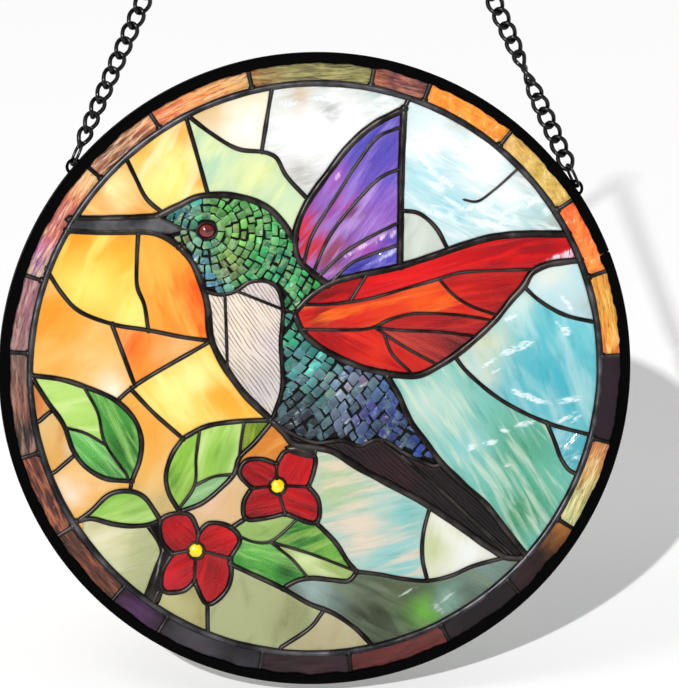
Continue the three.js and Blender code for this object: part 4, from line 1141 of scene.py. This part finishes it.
@dataclass
class Mosaic:
    """Small pillow-shaped chips in curved rows over a bed."""

    name: str
    picture: Picture
    centre: tuple[float, float]
    size: float
    colour: str
    blooms: tuple[Bloom, ...]
    wisp: str
    seed: int
    reach: tuple[float, float] = (3.0, 140.0)
    grout: float = 0.34
    bevel: float = 0.28
    foot: float = 1.1
    brim: float = 1.75
    top: float = 2.05
    jitter: float = 0.13

    def chips(self) -> Shape:
        """Rows are rings round the centre and chips are stretches of a ring, their corners jittered.

        A corner that would cross the leading is drawn in towards the chip's middle, a tenth at a time.

        Each chip is an eight-sided pillow: a foot, a brim and a top that is inset and tilted. Its
        colours carry painted light: the foot is painted dark as shade between the chips, and the brim
        and the top are painted lighter on the side towards the upper left and darker on the other.

        Returns:
            All chips whose middles lie on the bed, with their colours and painted light.
        """
        rng = np.random.default_rng(self.seed)
        radii = np.arange(self.reach[0], self.reach[1], self.size)
        counts = np.maximum(3, (2 * math.pi * (radii + self.size / 2) / (self.size * 1.12)).astype(int))
        row = np.repeat(np.arange(len(radii)), counts)
        slot = np.concatenate([np.arange(c) for c in counts])
        count = counts[row]
        start = rng.uniform(0, 1, len(radii))[row]
        shift = rng.uniform(-0.24, 0.24, len(row) + 1)
        following = np.where(slot + 1 == count, np.arange(len(row)) - slot, np.arange(len(row)) + 1)
        first = (slot + start + shift[:-1]) / count * 2 * math.pi
        second = (slot + 1 + start + shift[:-1][following]) / count * 2 * math.pi
        low = radii[row] + rng.uniform(-0.12, 0.12, len(row)) * self.size
        high = radii[row] + self.size * (1 + rng.uniform(-0.12, 0.12, len(row)))
        u = np.array([0.13, 0.87, 1.0, 1.0, 0.87, 0.13, 0.0, 0.0])
        v = np.array([0.0, 0.0, 0.14, 0.86, 1.0, 1.0, 0.86, 0.14])
        u = u + np.repeat(rng.uniform(-self.jitter, self.jitter, (len(row), 4)), 2, 1)
        v = v + np.repeat(rng.uniform(-self.jitter, self.jitter, (len(row), 4)), 2, 1)
        angle = first[:, None] + (second - first)[:, None] * u
        radius = low[:, None] + (high - low)[:, None] * v
        bend = 0.05 * waves(radius, angle * 20, self.seed, 40, 1)
        x = self.centre[0] + radius * np.cos(angle + bend)
        y = self.centre[1] + radius * np.sin(angle + bend)
        middle = np.stack([x.mean(1), y.mean(1)], 1)
        share, clear = np.zeros(x.shape), np.ones(x.shape, bool)
        for size in np.linspace(0.1, 1.0, 10):
            near_x = middle[:, :1] + (x - middle[:, :1]) * size
            near_y = middle[:, 1:] + (y - middle[:, 1:]) * size
            cell = self.picture.cartoon.cell(np.clip(np.stack([near_x, near_y], -1), -95, 95))
            clear &= self.picture.labels[cell] == self.picture.number(self.name)
            share = np.where(clear, size, share)
        keep = (share.min(1) > 0.05) & (share.mean(1) > 0.4)
        x, y, middle, share = x[keep], y[keep], middle[keep], share[keep]
        x, y = middle[:, :1] + (x - middle[:, :1]) * share, middle[:, 1:] + (y - middle[:, 1:]) * share
        n = len(x)
        reach = np.hypot(x - middle[:, :1], y - middle[:, 1:])
        rings = []
        tilt = rng.uniform(-0.1, 0.1, (n, 2, 1))
        lift = rng.uniform(0, 0.15, (n, 1))
        half = self.grout / 2
        for inset, depth in ((half, self.foot), (half, self.brim), (half + self.bevel, self.top)):
            scale = np.clip(1 - inset / reach, 0.1, 1)
            dx, dy = (x - middle[:, :1]) * scale, (y - middle[:, 1:]) * scale
            height = depth + (0 if depth == self.foot else lift + dx * tilt[:, 0] + dy * tilt[:, 1])
            height = np.broadcast_to(height, dx.shape)
            rings.append(np.stack([middle[:, :1] + dx, middle[:, 1:] + dy, height], -1))
        points = np.stack(rings, 1).reshape(-1, 3)
        faces = [[24 * k + i for i in face] for k in range(n) for face in lattice(3, 8) + caps(3, 8)[::-1]]
        colours = tinted(middle[:, 0], middle[:, 1], self.colour, self.blooms, self.seed)
        colours *= np.exp(rng.normal(0, 0.3, (n, 1))) * np.exp(rng.normal(0, 0.12, (n, 3)))
        # Painted light from near the upper left (lean): the foot ring painted dark as shade, the brim painted
        # lighter on the lit side and darker on the other, the top less so.
        lean = rng.uniform(-0.5, 0.5, (n, 1)) + 2.2
        light = ((y - middle[:, 1:]) * np.sin(lean) + (x - middle[:, :1]) * np.cos(lean)) / reach
        light = np.exp(np.concatenate([0.1 * light - 1.3, light - 0.35, 0.4 * light - 0.1], 1))
        return Shape(points, faces, np.repeat(colours, 24, 0) * light.reshape(-1, 1))

    def build(self) -> None:
        """Makes the chips."""
        glass = ArtGlass(f"{self.name}_glass", Weave.PEBBLED, self.wisp, 20, 0.35)
        self.chips().placed(f"{self.name}_chips", glass.material(), [self.name], SLOTS[self.name],
                            smooth=False)


@dataclass
class Leading:
    """Solder beads along every line, front and back, with blobs where they meet."""

    cartoon: Cartoon
    half_widths: dict[str, float] = field(default_factory=lambda: {
        "outline": 1.35, "leaf": 1.0, "ground": 0.85, "vein": 0.5})
    rise: float = 2.35
    bold_rise: float = 2.6
    ring_half_width: float = 1.3
    ring_rise: float = 2.55
    bar_half_width: float = 0.75
    bar_rise: float = 0.8
    laid_half_width: float = 0.42
    laid_height: float = 1.75
    laid_rise: float = 0.6

    def build(self) -> None:
        """Makes the ring, the lines, the bars, the pools and the blobs."""
        metal = Patina("solder", "#1c1918", "#403b39", 0.27, 0.75, crest=2.1, specular=0.2).material()
        kinds = (("outline", OUTLINES), ("leaf", LEAF_LINES), ("ground", GROUND_LINES), ("vein", VEINS))
        for kind, group in kinds:
            half = self.half_widths[kind]
            shapes = []
            for seed, name in enumerate(group):
                path = self.cartoon.paths[name]
                if kind == "vein":
                    shapes += [bead(path, half, 1.7 * side, 0.75, seed) for side in (1, -1)]
                else:
                    rise = self.bold_rise if kind == "outline" else self.rise
                    shapes.append(bead(path, half, 0.0, rise, seed))
            Shape.joined(shapes).placed(f"leading_{kind}s", metal, ["leading"], "lead")
        laid = [bead(smooth_path(points), self.laid_half_width, self.laid_height, self.laid_rise, seed)
                for seed, points in enumerate(LAID_LINES.values())]
        Shape.joined(laid).placed("leading_laid_lines", metal, ["leading"], "lead")
        Shape.joined([self.blob(path[end], half * 1.3, index * 2 + (end == 0))
                      for kind, group in kinds for half in (self.half_widths[kind],)
                      for index, name in enumerate(group) for path in (self.cartoon.paths[name],)
                      for end in (0, -1)]).placed("leading_joints", metal, ["leading"], "lead")
        turn = np.radians(np.arange(0, 360, 0.5))
        ring = RING_RADIUS * np.stack([np.cos(turn), np.sin(turn)], 1)
        came = Patina("came", "#242326", "#504e51", 0.3, 0.75, crest=2.1, specular=0.2).material()
        round_bead = bead(ring, self.ring_half_width, 0.0, self.ring_rise, 77, closed=True)
        round_bead.placed("leading_ring", came, ["leading"], "lead")
        bars = []
        for index, angle in enumerate(BORDER_ANGLES[:-1]):
            out = np.array([math.cos(math.radians(angle)), math.sin(math.radians(angle))])
            path = smooth_path([out * (RING_RADIUS + 0.4), out * 94, out * 98])
            bars += [bead(path, self.bar_half_width, side * GLASS_FACE, self.bar_rise, index)
                     for side in (1, -1)]
            bars.append(self.blob(out * (RING_RADIUS + 0.8), 1.7, index))
        Shape.joined(bars).placed("leading_bars", metal, ["leading"], "lead")
        Shape.joined([self.pool(points) for points in POOLS.values()]).placed(
            "leading_pools", metal, ["leading"], "lead")

    @staticmethod
    def blob(centre: Array, radius: float, seed: int) -> Shape:
        """A flattened drop of solder, front and back: a ball squashed in depth and a little off round.

        Args:
            centre: its middle in the panel's plane.
            radius: its mean radius.
            seed: seed of its outline.

        Returns:
            The closed drop.
        """
        turn = np.linspace(0, 2 * math.pi, 16, endpoint=False)
        rise = np.linspace(-math.pi / 2 + 0.12, math.pi / 2 - 0.12, 9)
        round_ = radius * (1 + 0.14 * waves(np.cos(turn) * 3, np.sin(turn) * 3, seed, 9, 1))
        x = centre[0] + np.cos(rise)[:, None] * (round_ * np.cos(turn))[None]
        y = centre[1] + np.cos(rise)[:, None] * (round_ * np.sin(turn))[None]
        depth = np.broadcast_to((2.55 * np.sin(rise))[:, None], x.shape)
        return Shape(np.stack([x, y, depth], -1).reshape(-1, 3), lattice(9, 16) + caps(9, 16))

    @staticmethod
    def pool(points: Path2) -> Shape:
        """A web of solder: an outline, drawn in a little at its front and back faces.

        Args:
            points: the corners of its outline, in order.

        Returns:
            The closed web.
        """
        outline = smooth_path(points + points[:1], 0.7)[:-1]
        middle = outline.mean(0)
        rings = [deep(middle + (outline - middle) * share, depth)
                 for share, depth in ((0.9, -2.2), (1.0, -1.6), (1.0, 1.6), (0.9, 2.2))]
        n = len(outline)
        area = np.sum(outline[:, 0] * np.roll(outline[:, 1], -1) - outline[:, 1] * np.roll(outline[:, 0], -1))
        web = Shape(np.concatenate(rings), lattice(4, n) + caps(4, n))
        return web if area > 0 else web.flipped()


@dataclass(frozen=True)
class BorderGlass:
    """One piece of the border: its colours along the arc, clockwise, and its weave."""

    stops: tuple[str, ...]
    weave: Weave
    wisp: str


BORDER: tuple[BorderGlass, ...] = (
    BorderGlass(("#a06c34", "#7c7446", "#6e6a3a", "#7e7a40"), Weave.WOOD, "#b8b070"),
    BorderGlass(("#a85c34", "#6a3034", "#743c3e", "#683636"), Weave.WOOD, "#cc8468"),
    BorderGlass(("#ee8a24", "#f59a30", "#ee8e2a"), Weave.PEBBLED, "#ffb24e"),
    BorderGlass(("#d9a860", "#c8a848", "#cca44a"), Weave.PEBBLED, "#e9cf86"),
    BorderGlass(("#e8602c", "#f0742c", "#f98c30"), Weave.PEBBLED, "#ffa04a"),
    BorderGlass(("#dc942c", "#d69a30", "#e4802a"), Weave.WOOD, "#f8d478"),
    BorderGlass(("#20141c", "#241620", "#1e1218"), Weave.OPAL, "#301e2c"),
    BorderGlass(("#c47038", "#c8934c", "#b4b070", "#bcc48e"), Weave.WOOD, "#e8dca0"),
    BorderGlass(("#a86c30", "#2a1817", "#24141a"), Weave.WISPY, "#3a2028"),
    BorderGlass(("#1a1016", "#180f14"), Weave.OPAL, "#281a22"),
    BorderGlass(("#582624", "#682a26", "#582424"), Weave.WISPY, "#8c4840"),
    BorderGlass(("#2a161e", "#2c161a", "#26141a"), Weave.WISPY, "#442630"),
    # The pale third stop of this dark piece is a painted highlight.
    BorderGlass(("#20181e", "#1e181c", "#464048", "#2a2428"), Weave.OPAL, "#54505a"),
    BorderGlass(("#281a22", "#482650", "#261820"), Weave.WISPY, "#5c3460"),
    BorderGlass(("#44221a", "#5e3020", "#2a1613"), Weave.WOOD, "#96583a"),
    BorderGlass(("#2a1318", "#461e1c", "#582720"), Weave.WOOD, "#c8744c"),
    BorderGlass(("#281816", "#241412", "#84503f", "#6e4c42", "#70554e"), Weave.WOOD, "#b08474"),
    BorderGlass(("#86605c", "#96646c", "#9a6470"), Weave.WOOD, "#c89c98"),
    BorderGlass(("#6c5088", "#a44c9c", "#b8544c", "#c05c58", "#d08048", "#dcb060"), Weave.WOOD, "#eac490"),
    BorderGlass(("#9c5020", "#6c340c", "#7c3c14", "#c06838"), Weave.WOOD, "#ffc890"),
    BorderGlass(("#d8683c", "#e0904a", "#c8a060"), Weave.WOOD, "#f0bc78"),
)


@dataclass
class Border:
    """The ring of textured glasses between the ring of came and the rim."""

    inner: float = RING_RADIUS + 0.5
    outer: float = 98.2

    def sector(self, start: float, end: float, glass: BorderGlass, seed: int) -> Shape:
        """A piece of the border: a grid over angle and radius, its face raised by streaks along the arc.

        Args:
            start: angle of the first end, degrees.
            end: angle of the second end, clockwise of the first.
            glass: colours and weave.
            seed: seed of the relief.

        Returns:
            The closed piece, its tint, and flat coordinates along and across the arc in centimetres.
        """
        span = math.radians(start - end) * BORDER_MIDDLE
        columns, rows = max(6, int(span / 0.55)), 15
        along = np.linspace(0.0, 1.0, columns)
        across = np.linspace(0.0, 1.0, rows)
        s, r = np.meshgrid(along, across)
        gap = 0.3 / BORDER_MIDDLE
        angle = math.radians(start) - gap - s * (math.radians(start - end) - 2 * gap)
        radius = self.inner + r * (self.outer - self.inner)
        length, width, _, relief, _ = glass.weave.value
        u, v = s * span, r * (self.outer - self.inner)
        face = GLASS_FACE + 0.12 + relief * 1.3 * waves(u * width / length, v, seed, width * 2.2, 3)
        front = np.stack([radius * np.cos(angle), radius * np.sin(angle), face], -1).reshape(-1, 3)
        back = front.copy()
        back[:, 2] = -GLASS_FACE
        n = rows * columns
        quads = np.array(lattice(rows, columns, False, False))
        loop = np.concatenate([np.arange(columns), np.arange(1, rows) * columns + columns - 1,
                               (rows - 1) * columns + np.arange(columns - 2, -1, -1),
                               np.arange(rows - 2, 0, -1) * columns])
        walls = np.stack([loop, np.roll(loop, -1), np.roll(loop, -1) + n, loop + n], 1)
        faces = quads[:, ::-1].tolist() + (quads + n).tolist() + walls.tolist()
        stops = np.array([linear(c) for c in glass.stops])
        place = np.clip(s + 0.05 * waves(u, v, seed + 3, 6), 0, 1).ravel() * (len(stops) - 1)
        tint = np.stack([np.interp(place, np.arange(len(stops)), stops[:, k]) for k in range(3)], 1)
        tint = tint * np.exp(0.25 * waves(u * width / length, v, seed + 9, width * 1.6)).reshape(-1, 1)
        flat = np.stack([u.ravel(), v.ravel()], 1) / 10
        return Shape(np.concatenate([front, back]), faces, np.tile(tint, (2, 1)), np.tile(flat, (2, 1)))

    def build(self) -> None:
        """Makes the pieces."""
        for index, glass in enumerate(BORDER):
            start, end = BORDER_ANGLES[index], BORDER_ANGLES[index + 1]
            middle = (start + end) / 2
            finish = ArtGlass(f"border_{index + 1}", glass.weave, glass.wisp, middle - 90, 0.5, 0.35,
                              scratch={Weave.WOOD: 0.7, Weave.PEBBLED: 0.3}.get(glass.weave, 0.0))
            self.sector(start, end, glass, index).placed(
                f"border_{index + 1:02d}", finish.material(), ["border_glass"], "border_glass")


@dataclass
class Rim:
    """The black channel round the border glass, open at its seam, with two wire eyelets."""

    face: float = 3.3
    half: float = 3.0
    wall: float = 1.5
    lip: float = 1.65
    seam: float = 0.6
    bend: float = 0.4
    eyelet_wire: float = 1.0

    def channel(self) -> Shape:
        """A U section turned round the panel, its inner edges ragged, closed by flat ends at the seam.

        The inner radius is rim radius - face + noise(angle), so the edge wanders over the glass.

        Returns:
            The closed shape.
        """
        gap = math.degrees(self.seam / 2 / PANEL_RADIUS)
        angle = np.radians(np.linspace(SEAM_ANGLE + gap, SEAM_ANGLE + 360 - gap, 900))
        edge = 0.3 * waves(np.cos(angle) * 100, np.sin(angle) * 100, 5, 11, 3)
        edge += 0.3 * (np.cos(angle) > 0.3) * waves(np.cos(angle) * 100, np.sin(angle) * 100, 8, 7, 2)
        inner = PANEL_RADIUS - self.face + edge
        bend = self.bend
        flat = np.full_like(inner, PANEL_RADIUS)
        profile = [
            (inner, -self.half + bend), (inner + bend, -self.half), (flat - bend, -self.half),
            (flat, -self.half + bend), (flat, self.half - bend), (flat - bend, self.half),
            (inner + bend, self.half), (inner, self.half - bend), (inner, self.lip),
            (flat - self.wall, self.lip), (flat - self.wall, -self.lip), (inner, -self.lip)]
        radius = np.stack([np.broadcast_to(r, inner.shape) for r, _ in profile], 1)
        depth = np.broadcast_to([d for _, d in profile], radius.shape)
        points = np.stack([radius * np.cos(angle)[:, None], radius * np.sin(angle)[:, None], depth], -1)
        k, n = len(profile), len(angle)
        return Shape(points.reshape(-1, 3), lattice(n, k) + caps(n, k))

    def eyelet(self, angle: float) -> Shape:
        """A staple of round wire that stands on the rim: two feet and a half ring between them.

        Args:
            angle: its place on the rim, degrees.

        Returns:
            The closed wire.
        """
        turn = np.linspace(0, math.pi, 15)
        across = np.concatenate([[2.3], 2.25 * np.cos(turn), [-2.3]])
        out = np.concatenate([[-1.0], 2.1 * np.sin(turn), [-1.0]])
        path = smooth_path(np.stack([across, out], 1), 0.3)
        _, side = frames(path)
        turn = math.radians(angle)
        radial = np.array([math.cos(turn), math.sin(turn)])
        along = np.array([math.sin(turn), -math.cos(turn)])

        stand = np.stack([along, radial])
        size = np.full(len(path), self.eyelet_wire / 2)
        centre = deep(PANEL_RADIUS * radial + path @ stand, 0.0)
        return tube(centre, deep(side @ stand, 0.0), upward(len(path)), size, size, 10)

    def build(self) -> None:
        """Makes the channel and the eyelets."""
        black = Patina("black_steel", "#010101", "#030303", 0.6, 0.0, specular=0.02).material()
        self.channel().placed("rim_channel", black, ["rim"], "black_metal", smooth=False)
        for side, angle in EYELET_ANGLES.items():
            self.eyelet(angle).placed(f"eyelet_{side}", black, ["rim"], "black_metal")


@dataclass
class Hanger:
    """One run of curb chain with its jump rings."""

    side: str
    roll: float = 0.0
    lean: float = 0.0
    link_length: float = 7.8
    link_width: float = 5.9
    wire: float = 1.4
    twist: float = 42.0
    jump_length: float = 8.6
    jump_width: float = 5.4
    jump_wire: float = 1.0
    jump_roll: float = 78.0

    def placed_loop(self, middle: float, length: float, width: float, wire: float, twist: float,
                    roll: float, samples: int = 36) -> Shape:
        """An oval loop of round wire, twisted along the run.

        The loop is (width/2 * cos, length/2 * sin), and each point is turned about the run by
        roll + twist * height / half length, so one end leans one way and the other end the other.

        Args:
            middle: the loop's middle along the run.
            length: outer length.
            width: outer width.
            wire: wire diameter.
            twist: turn of each end, degrees.
            roll: turn of the whole loop, degrees.
            samples: points along the loop.

        Returns:
            The closed loop.
        """
        t = np.arange(samples) * 2 * math.pi / samples
        half_l, half_w = (length - wire) / 2, (width - wire) / 2
        x = half_w * np.sign(np.cos(t)) * np.abs(np.cos(t)) ** 0.85
        along = half_l * np.sin(t)
        turn = np.radians(roll + twist * along / half_l)
        path = np.stack([x * np.cos(turn), along + middle, x * np.sin(turn)], 1)
        tangent = np.roll(path, -1, 0) - np.roll(path, 1, 0)
        tangent /= np.linalg.norm(tangent, axis=1)[:, None]
        outward = np.stack([np.cos(t) * np.cos(turn), np.sin(t), np.cos(t) * np.sin(turn)], 1)
        outward -= tangent * np.sum(outward * tangent, 1)[:, None]
        outward /= np.linalg.norm(outward, axis=1)[:, None]
        up = np.cross(tangent, outward)
        size = np.full(samples, wire / 2)
        shape = tube(path, outward, up, size, size, 8, closed=True)
        foot, axis, side = self.axes()
        local = shape.points
        flat = foot + local[:, 1:2] * axis + local[:, :1] * side
        return Shape(deep(flat, local[:, 2]), shape.faces).flipped()

    def axes(self) -> tuple[Array, Array, Array]:
        """Foot of the run, its direction and the direction to its right, in the panel's plane.

        Returns:
            The foot and the two unit vectors.
        """
        turn = math.radians(EYELET_ANGLES[self.side])
        foot = (PANEL_RADIUS + 0.85) * np.array([math.cos(turn), math.sin(turn)])
        axis = np.array([0.0, HANG_HEIGHT]) - foot
        axis /= np.linalg.norm(axis)
        return foot, axis, np.array([axis[1], -axis[0]])

    def build(self, metal: bpy.types.Material) -> None:
        """Makes the jump ring at the eyelet, the links and the jump ring at the top.

        Args:
            metal: the chain's material.
        """
        foot, _, _ = self.axes()
        rise = np.linalg.norm(np.array([0.0, HANG_HEIGHT]) - foot)
        reach = rise - (HANG_RING_RADIUS - 1.4 - 0.3)
        pitch = self.jump_length - self.jump_wire
        low, high = pitch - 0.2, reach - pitch + 0.2
        step = self.link_length - 2 * self.wire
        count = round((high - low + self.wire) / step)
        step = (high - low + self.wire) / count
        links = []
        for index in range(count):
            share = index / (count - 1)
            turned = self.roll / (1 + math.exp(-(share - 0.17) * 40)) + self.lean * max(0.0, 1 - share / 0.3)
            links.append(self.placed_loop(low - self.wire / 2 + step * (index + 0.5), step + 2 * self.wire,
                                          self.link_width, self.wire, self.twist, turned))
        Shape.joined(links).placed(f"links_{self.side}", metal, [f"chain_{self.side}"], "black_metal")
        for name, middle in ((f"jump_ring_{self.side}", pitch / 2),
                             (f"top_jump_ring_{self.side}", reach - pitch / 2)):
            loop = self.placed_loop(middle, self.jump_length, self.jump_width, self.jump_wire, 0.0,
                                    self.jump_roll)
            loop.placed(f"{name}_wire", metal, [name], "black_metal")


@dataclass
class TopRing:
    """The plain ring that the hook carries."""

    wire: float = 1.8

    def build(self, metal: bpy.types.Material) -> None:
        """A circle of round wire in the panel's plane.

        Args:
            metal: the ring's material.
        """
        turn = np.arange(64) * 2 * math.pi / 64
        outward = np.stack([np.cos(turn), np.sin(turn), np.zeros(64)], 1)
        path = outward * HANG_RING_RADIUS + [0, HANG_HEIGHT, 0]
        size = np.full(64, self.wire / 2)
        tube(path, outward, upward(64), size, size, 14, closed=True).flipped().placed(
            "hanging_ring_wire", metal, ["hanging_ring"], "black_metal")


@dataclass(frozen=True)
class Cabochon:
    """A domed gem in its cup of solder."""

    name: str
    centre: tuple[float, float]
    half: tuple[float, float]
    rise: float
    finish: Gem
    slot: str

    def build(self, solder: bpy.types.Material) -> None:
        """A dome, depth = base + rise * sqrt(1 - r^2) over a flat back, and a bead round it.

        Args:
            solder: the material of the bead.
        """
        turn = np.linspace(0, 2 * math.pi, 40, endpoint=False)
        share = np.cos(np.linspace(0, math.pi / 2 - 0.1, 9))
        height = np.sin(np.linspace(0, math.pi / 2 - 0.1, 9))
        rings = [(0.98, -GLASS_FACE)] + [(r, 1.9 + self.rise * h) for r, h in zip(share, height)]
        circle = np.stack([np.cos(turn) * self.half[0], np.sin(turn) * self.half[1]], 1)
        points = np.concatenate([deep(np.array(self.centre) + circle * r, d) for r, d in rings])
        dome = Shape(points, lattice(len(rings), 40) + caps(len(rings), 40))
        dome.placed(f"{self.name}_gem", self.finish.material(), [self.name], self.slot)
        ring = np.array(self.centre) + circle * (1 + 0.45 / self.half[0])
        bead(ring, 0.42, 1.9, 0.75, 3, closed=True).placed(f"{self.name}_cup", solder, ["leading"], "lead")


@dataclass
class Studio:
    """Pale floor, soft light and the camera."""

    azimuth: float = -7.0
    elevation: float = 6.0
    distance: float = 1.6
    width: float = 0.2141
    aim: tuple[float, float] = (7.3, 8.05)
    lens: float = 36.0
    sun_turn: float = 17.0
    sun_rise: float = 16.5
    sun_power: float = 3.7
    sun_size: float = 0.014
    window_power: float = 3.0
    world_light: float = 0.36
    floor_drop: float = 5.0
    floor_slope: float = 8.0
    floor_glow: float = 0.14

    def build(self) -> None:
        """Makes the floor, the world, the lamps and the camera."""
        self.floor()
        world = bpy.data.worlds.new("studio")
        world.use_nodes = True
        world.node_tree.nodes["Background"].inputs[0].default_value = (1.0, 1.0, 1.0, 1.0)
        world.node_tree.nodes["Background"].inputs[1].default_value = self.world_light
        bpy.context.scene.world = world
        bpy.context.scene.view_settings.view_transform = "Standard"
        turn, rise = math.radians(self.sun_turn), math.radians(self.sun_rise)
        place = -math.sin(turn) * math.cos(rise), -math.cos(turn) * math.cos(rise), math.sin(rise)
        self.lamp("key", "SUN", place, self.sun_power, self.sun_size)
        self.lamp("window", "AREA", (-0.6, -0.9, 1.0), self.window_power, 0.5)
        self.camera()

    def floor(self) -> None:
        """A wide pale floor just under the panel, which rises gently away from the camera."""
        mesh = bpy.data.meshes.new("floor")
        low = (PANEL_CENTRE_Z - PANEL_RADIUS - self.floor_drop) * MM
        slope = math.tan(math.radians(self.floor_slope))
        mesh.from_pydata([(x, y, low + slope * y) for x, y in ((-9, -9), (9, -9), (9, 9), (-9, 9))], [],
                         [(0, 1, 2, 3)])
        t = Tree("pale_floor")
        cloud = t.noise(t.place(), 2.0, 2)
        mesh.materials.append(t.finish(
            Base_Color=t.mix(cloud, (0.94, 0.94, 0.94), (0.97, 0.97, 0.97)), Roughness=0.9,
            Specular_IOR_Level=0.0, Emission_Color=(1.0, 1.0, 1.0, 1.0), Emission_Strength=self.floor_glow))
        floor = bpy.data.objects.new("floor", mesh)
        bpy.context.collection.objects.link(floor)

    def lamp(self, name: str, kind: str, place: tuple[float, float, float], power: float,
             size: float) -> None:
        """A lamp that looks at the panel's centre.

        Args:
            name: the lamp's name.
            kind: its type.
            place: its place from the panel's centre, in metres.
            power: its strength.
            size: its angle in radians for a sun, else its edge in metres.
        """
        data = bpy.data.lights.new(name, kind)
        data.energy = power
        if kind == "SUN":
            data.angle = size
        else:
            data.size = size
        lamp = bpy.data.objects.new(name, data)
        target = Vector((0, 0, PANEL_CENTRE_Z * MM))
        lamp.location = target + Vector(place)
        lamp.rotation_euler = Vector(place).to_track_quat("Z", "Y").to_euler()
        bpy.context.collection.objects.link(lamp)

    def camera(self) -> None:
        """A long lens at the photograph's angle, aimed so that the panel lies where it does there."""
        a, e = math.radians(self.azimuth), math.radians(self.elevation)
        back = Vector((math.sin(a) * math.cos(e), -math.cos(a) * math.cos(e), math.sin(e)))
        turn = back.to_track_quat("Z", "Y")
        data = bpy.data.cameras.new("camera")
        data.sensor_width = self.lens
        data.sensor_fit = "HORIZONTAL"
        data.lens = self.lens * self.distance / self.width
        camera = bpy.data.objects.new("camera", data)
        camera.rotation_mode = "QUATERNION"
        camera.rotation_quaternion = turn
        shift = turn @ Vector((self.aim[0] * MM, self.aim[1] * MM, 0))
        camera.location = Vector((0, 0, PANEL_CENTRE_Z * MM)) + shift + back * self.distance
        data.clip_end = 60
        bpy.context.collection.objects.link(camera)
        bpy.context.scene.camera = camera


HEAD_BLOOMS = (B("#3f9c4c", -20, 42, 14), B("#7aa848", -26, 44, 7), B("#2c8c5c", -12, 34, 8),
               B("#347c98", -36, 33, 8), B("#4c78a8", -34, 28, 5), B("#84564c", -44, 41, 5),
               B("#356c88", -41, 51, 6), B("#2a946c", -14, 24, 6), B("#7c9048", -28, 33, 5))
BODY_BLOOMS = (B("#2a9068", -8, 12, 10), B("#2f9084", 2, 3, 8), B("#568a8c", 0, -6, 8),
               B("#8796a0", 9, -7, 6), B("#7c74ac", 14, -1, 4), B("#262c35", -7, -15, 9),
               B("#5c606e", 9, -15, 6), B("#2a3478", 27, -13, 8), B("#1c2258", 22, -22, 9),
               B("#48488c", 17, -14, 5), B("#1b2c78", 36, -28, 9), B("#22262e", -4, -22, 7),
               B("#1f5aa8", 28, -6, 3))


def main() -> None:
    """Builds every sub-assembly in order and reports each piece."""
    logging.basicConfig(level=logging.INFO, format="%(message)s")
    Studio().build()
    cartoon = Cartoon()
    picture = Picture(cartoon)
    picture.build()
    Mosaic("head_mosaic", picture, EYE, 2.45, "#2f8c48", HEAD_BLOOMS, "#8cb87c", 4, (3.4, 50)).build()
    Mosaic("body_mosaic", picture, (-46, 40), 3.1, "#33606c", BODY_BLOOMS, "#5f7c84", 6, (30, 130)).build()
    Leading(cartoon).build()
    Border().build()
    Rim().build()
    black = Patina("black_chain", "#010101", "#040404", 0.16, 0.0, specular=0.32).material()
    Hanger("left", lean=-38).build(black)
    Hanger("right", roll=180).build(black)
    TopRing().build(black)
    solder = Patina("cup_solder", "#151211", "#322d2b", 0.3, 0.75).material()
    yellow = Gem("yellow_glass_button", "#e8bc00", "#fbd916", 0.2)
    Cabochon("flower_button_low", LOW_HEART, (2.2, 2.2), 1.0, yellow, "yellow_gem").build(solder)
    Cabochon("flower_button_high", HIGH_HEART, (2.2, 2.2), 1.0, yellow, "yellow_gem").build(solder)
    garnet = Gem("garnet_cabochon", "#1c0304", "#7c140f")
    Cabochon("eye", EYE, (2.6, 2.2), 1.4, garnet, "garnet_gem").build(solder)


if __name__ == "__main__":
    main()
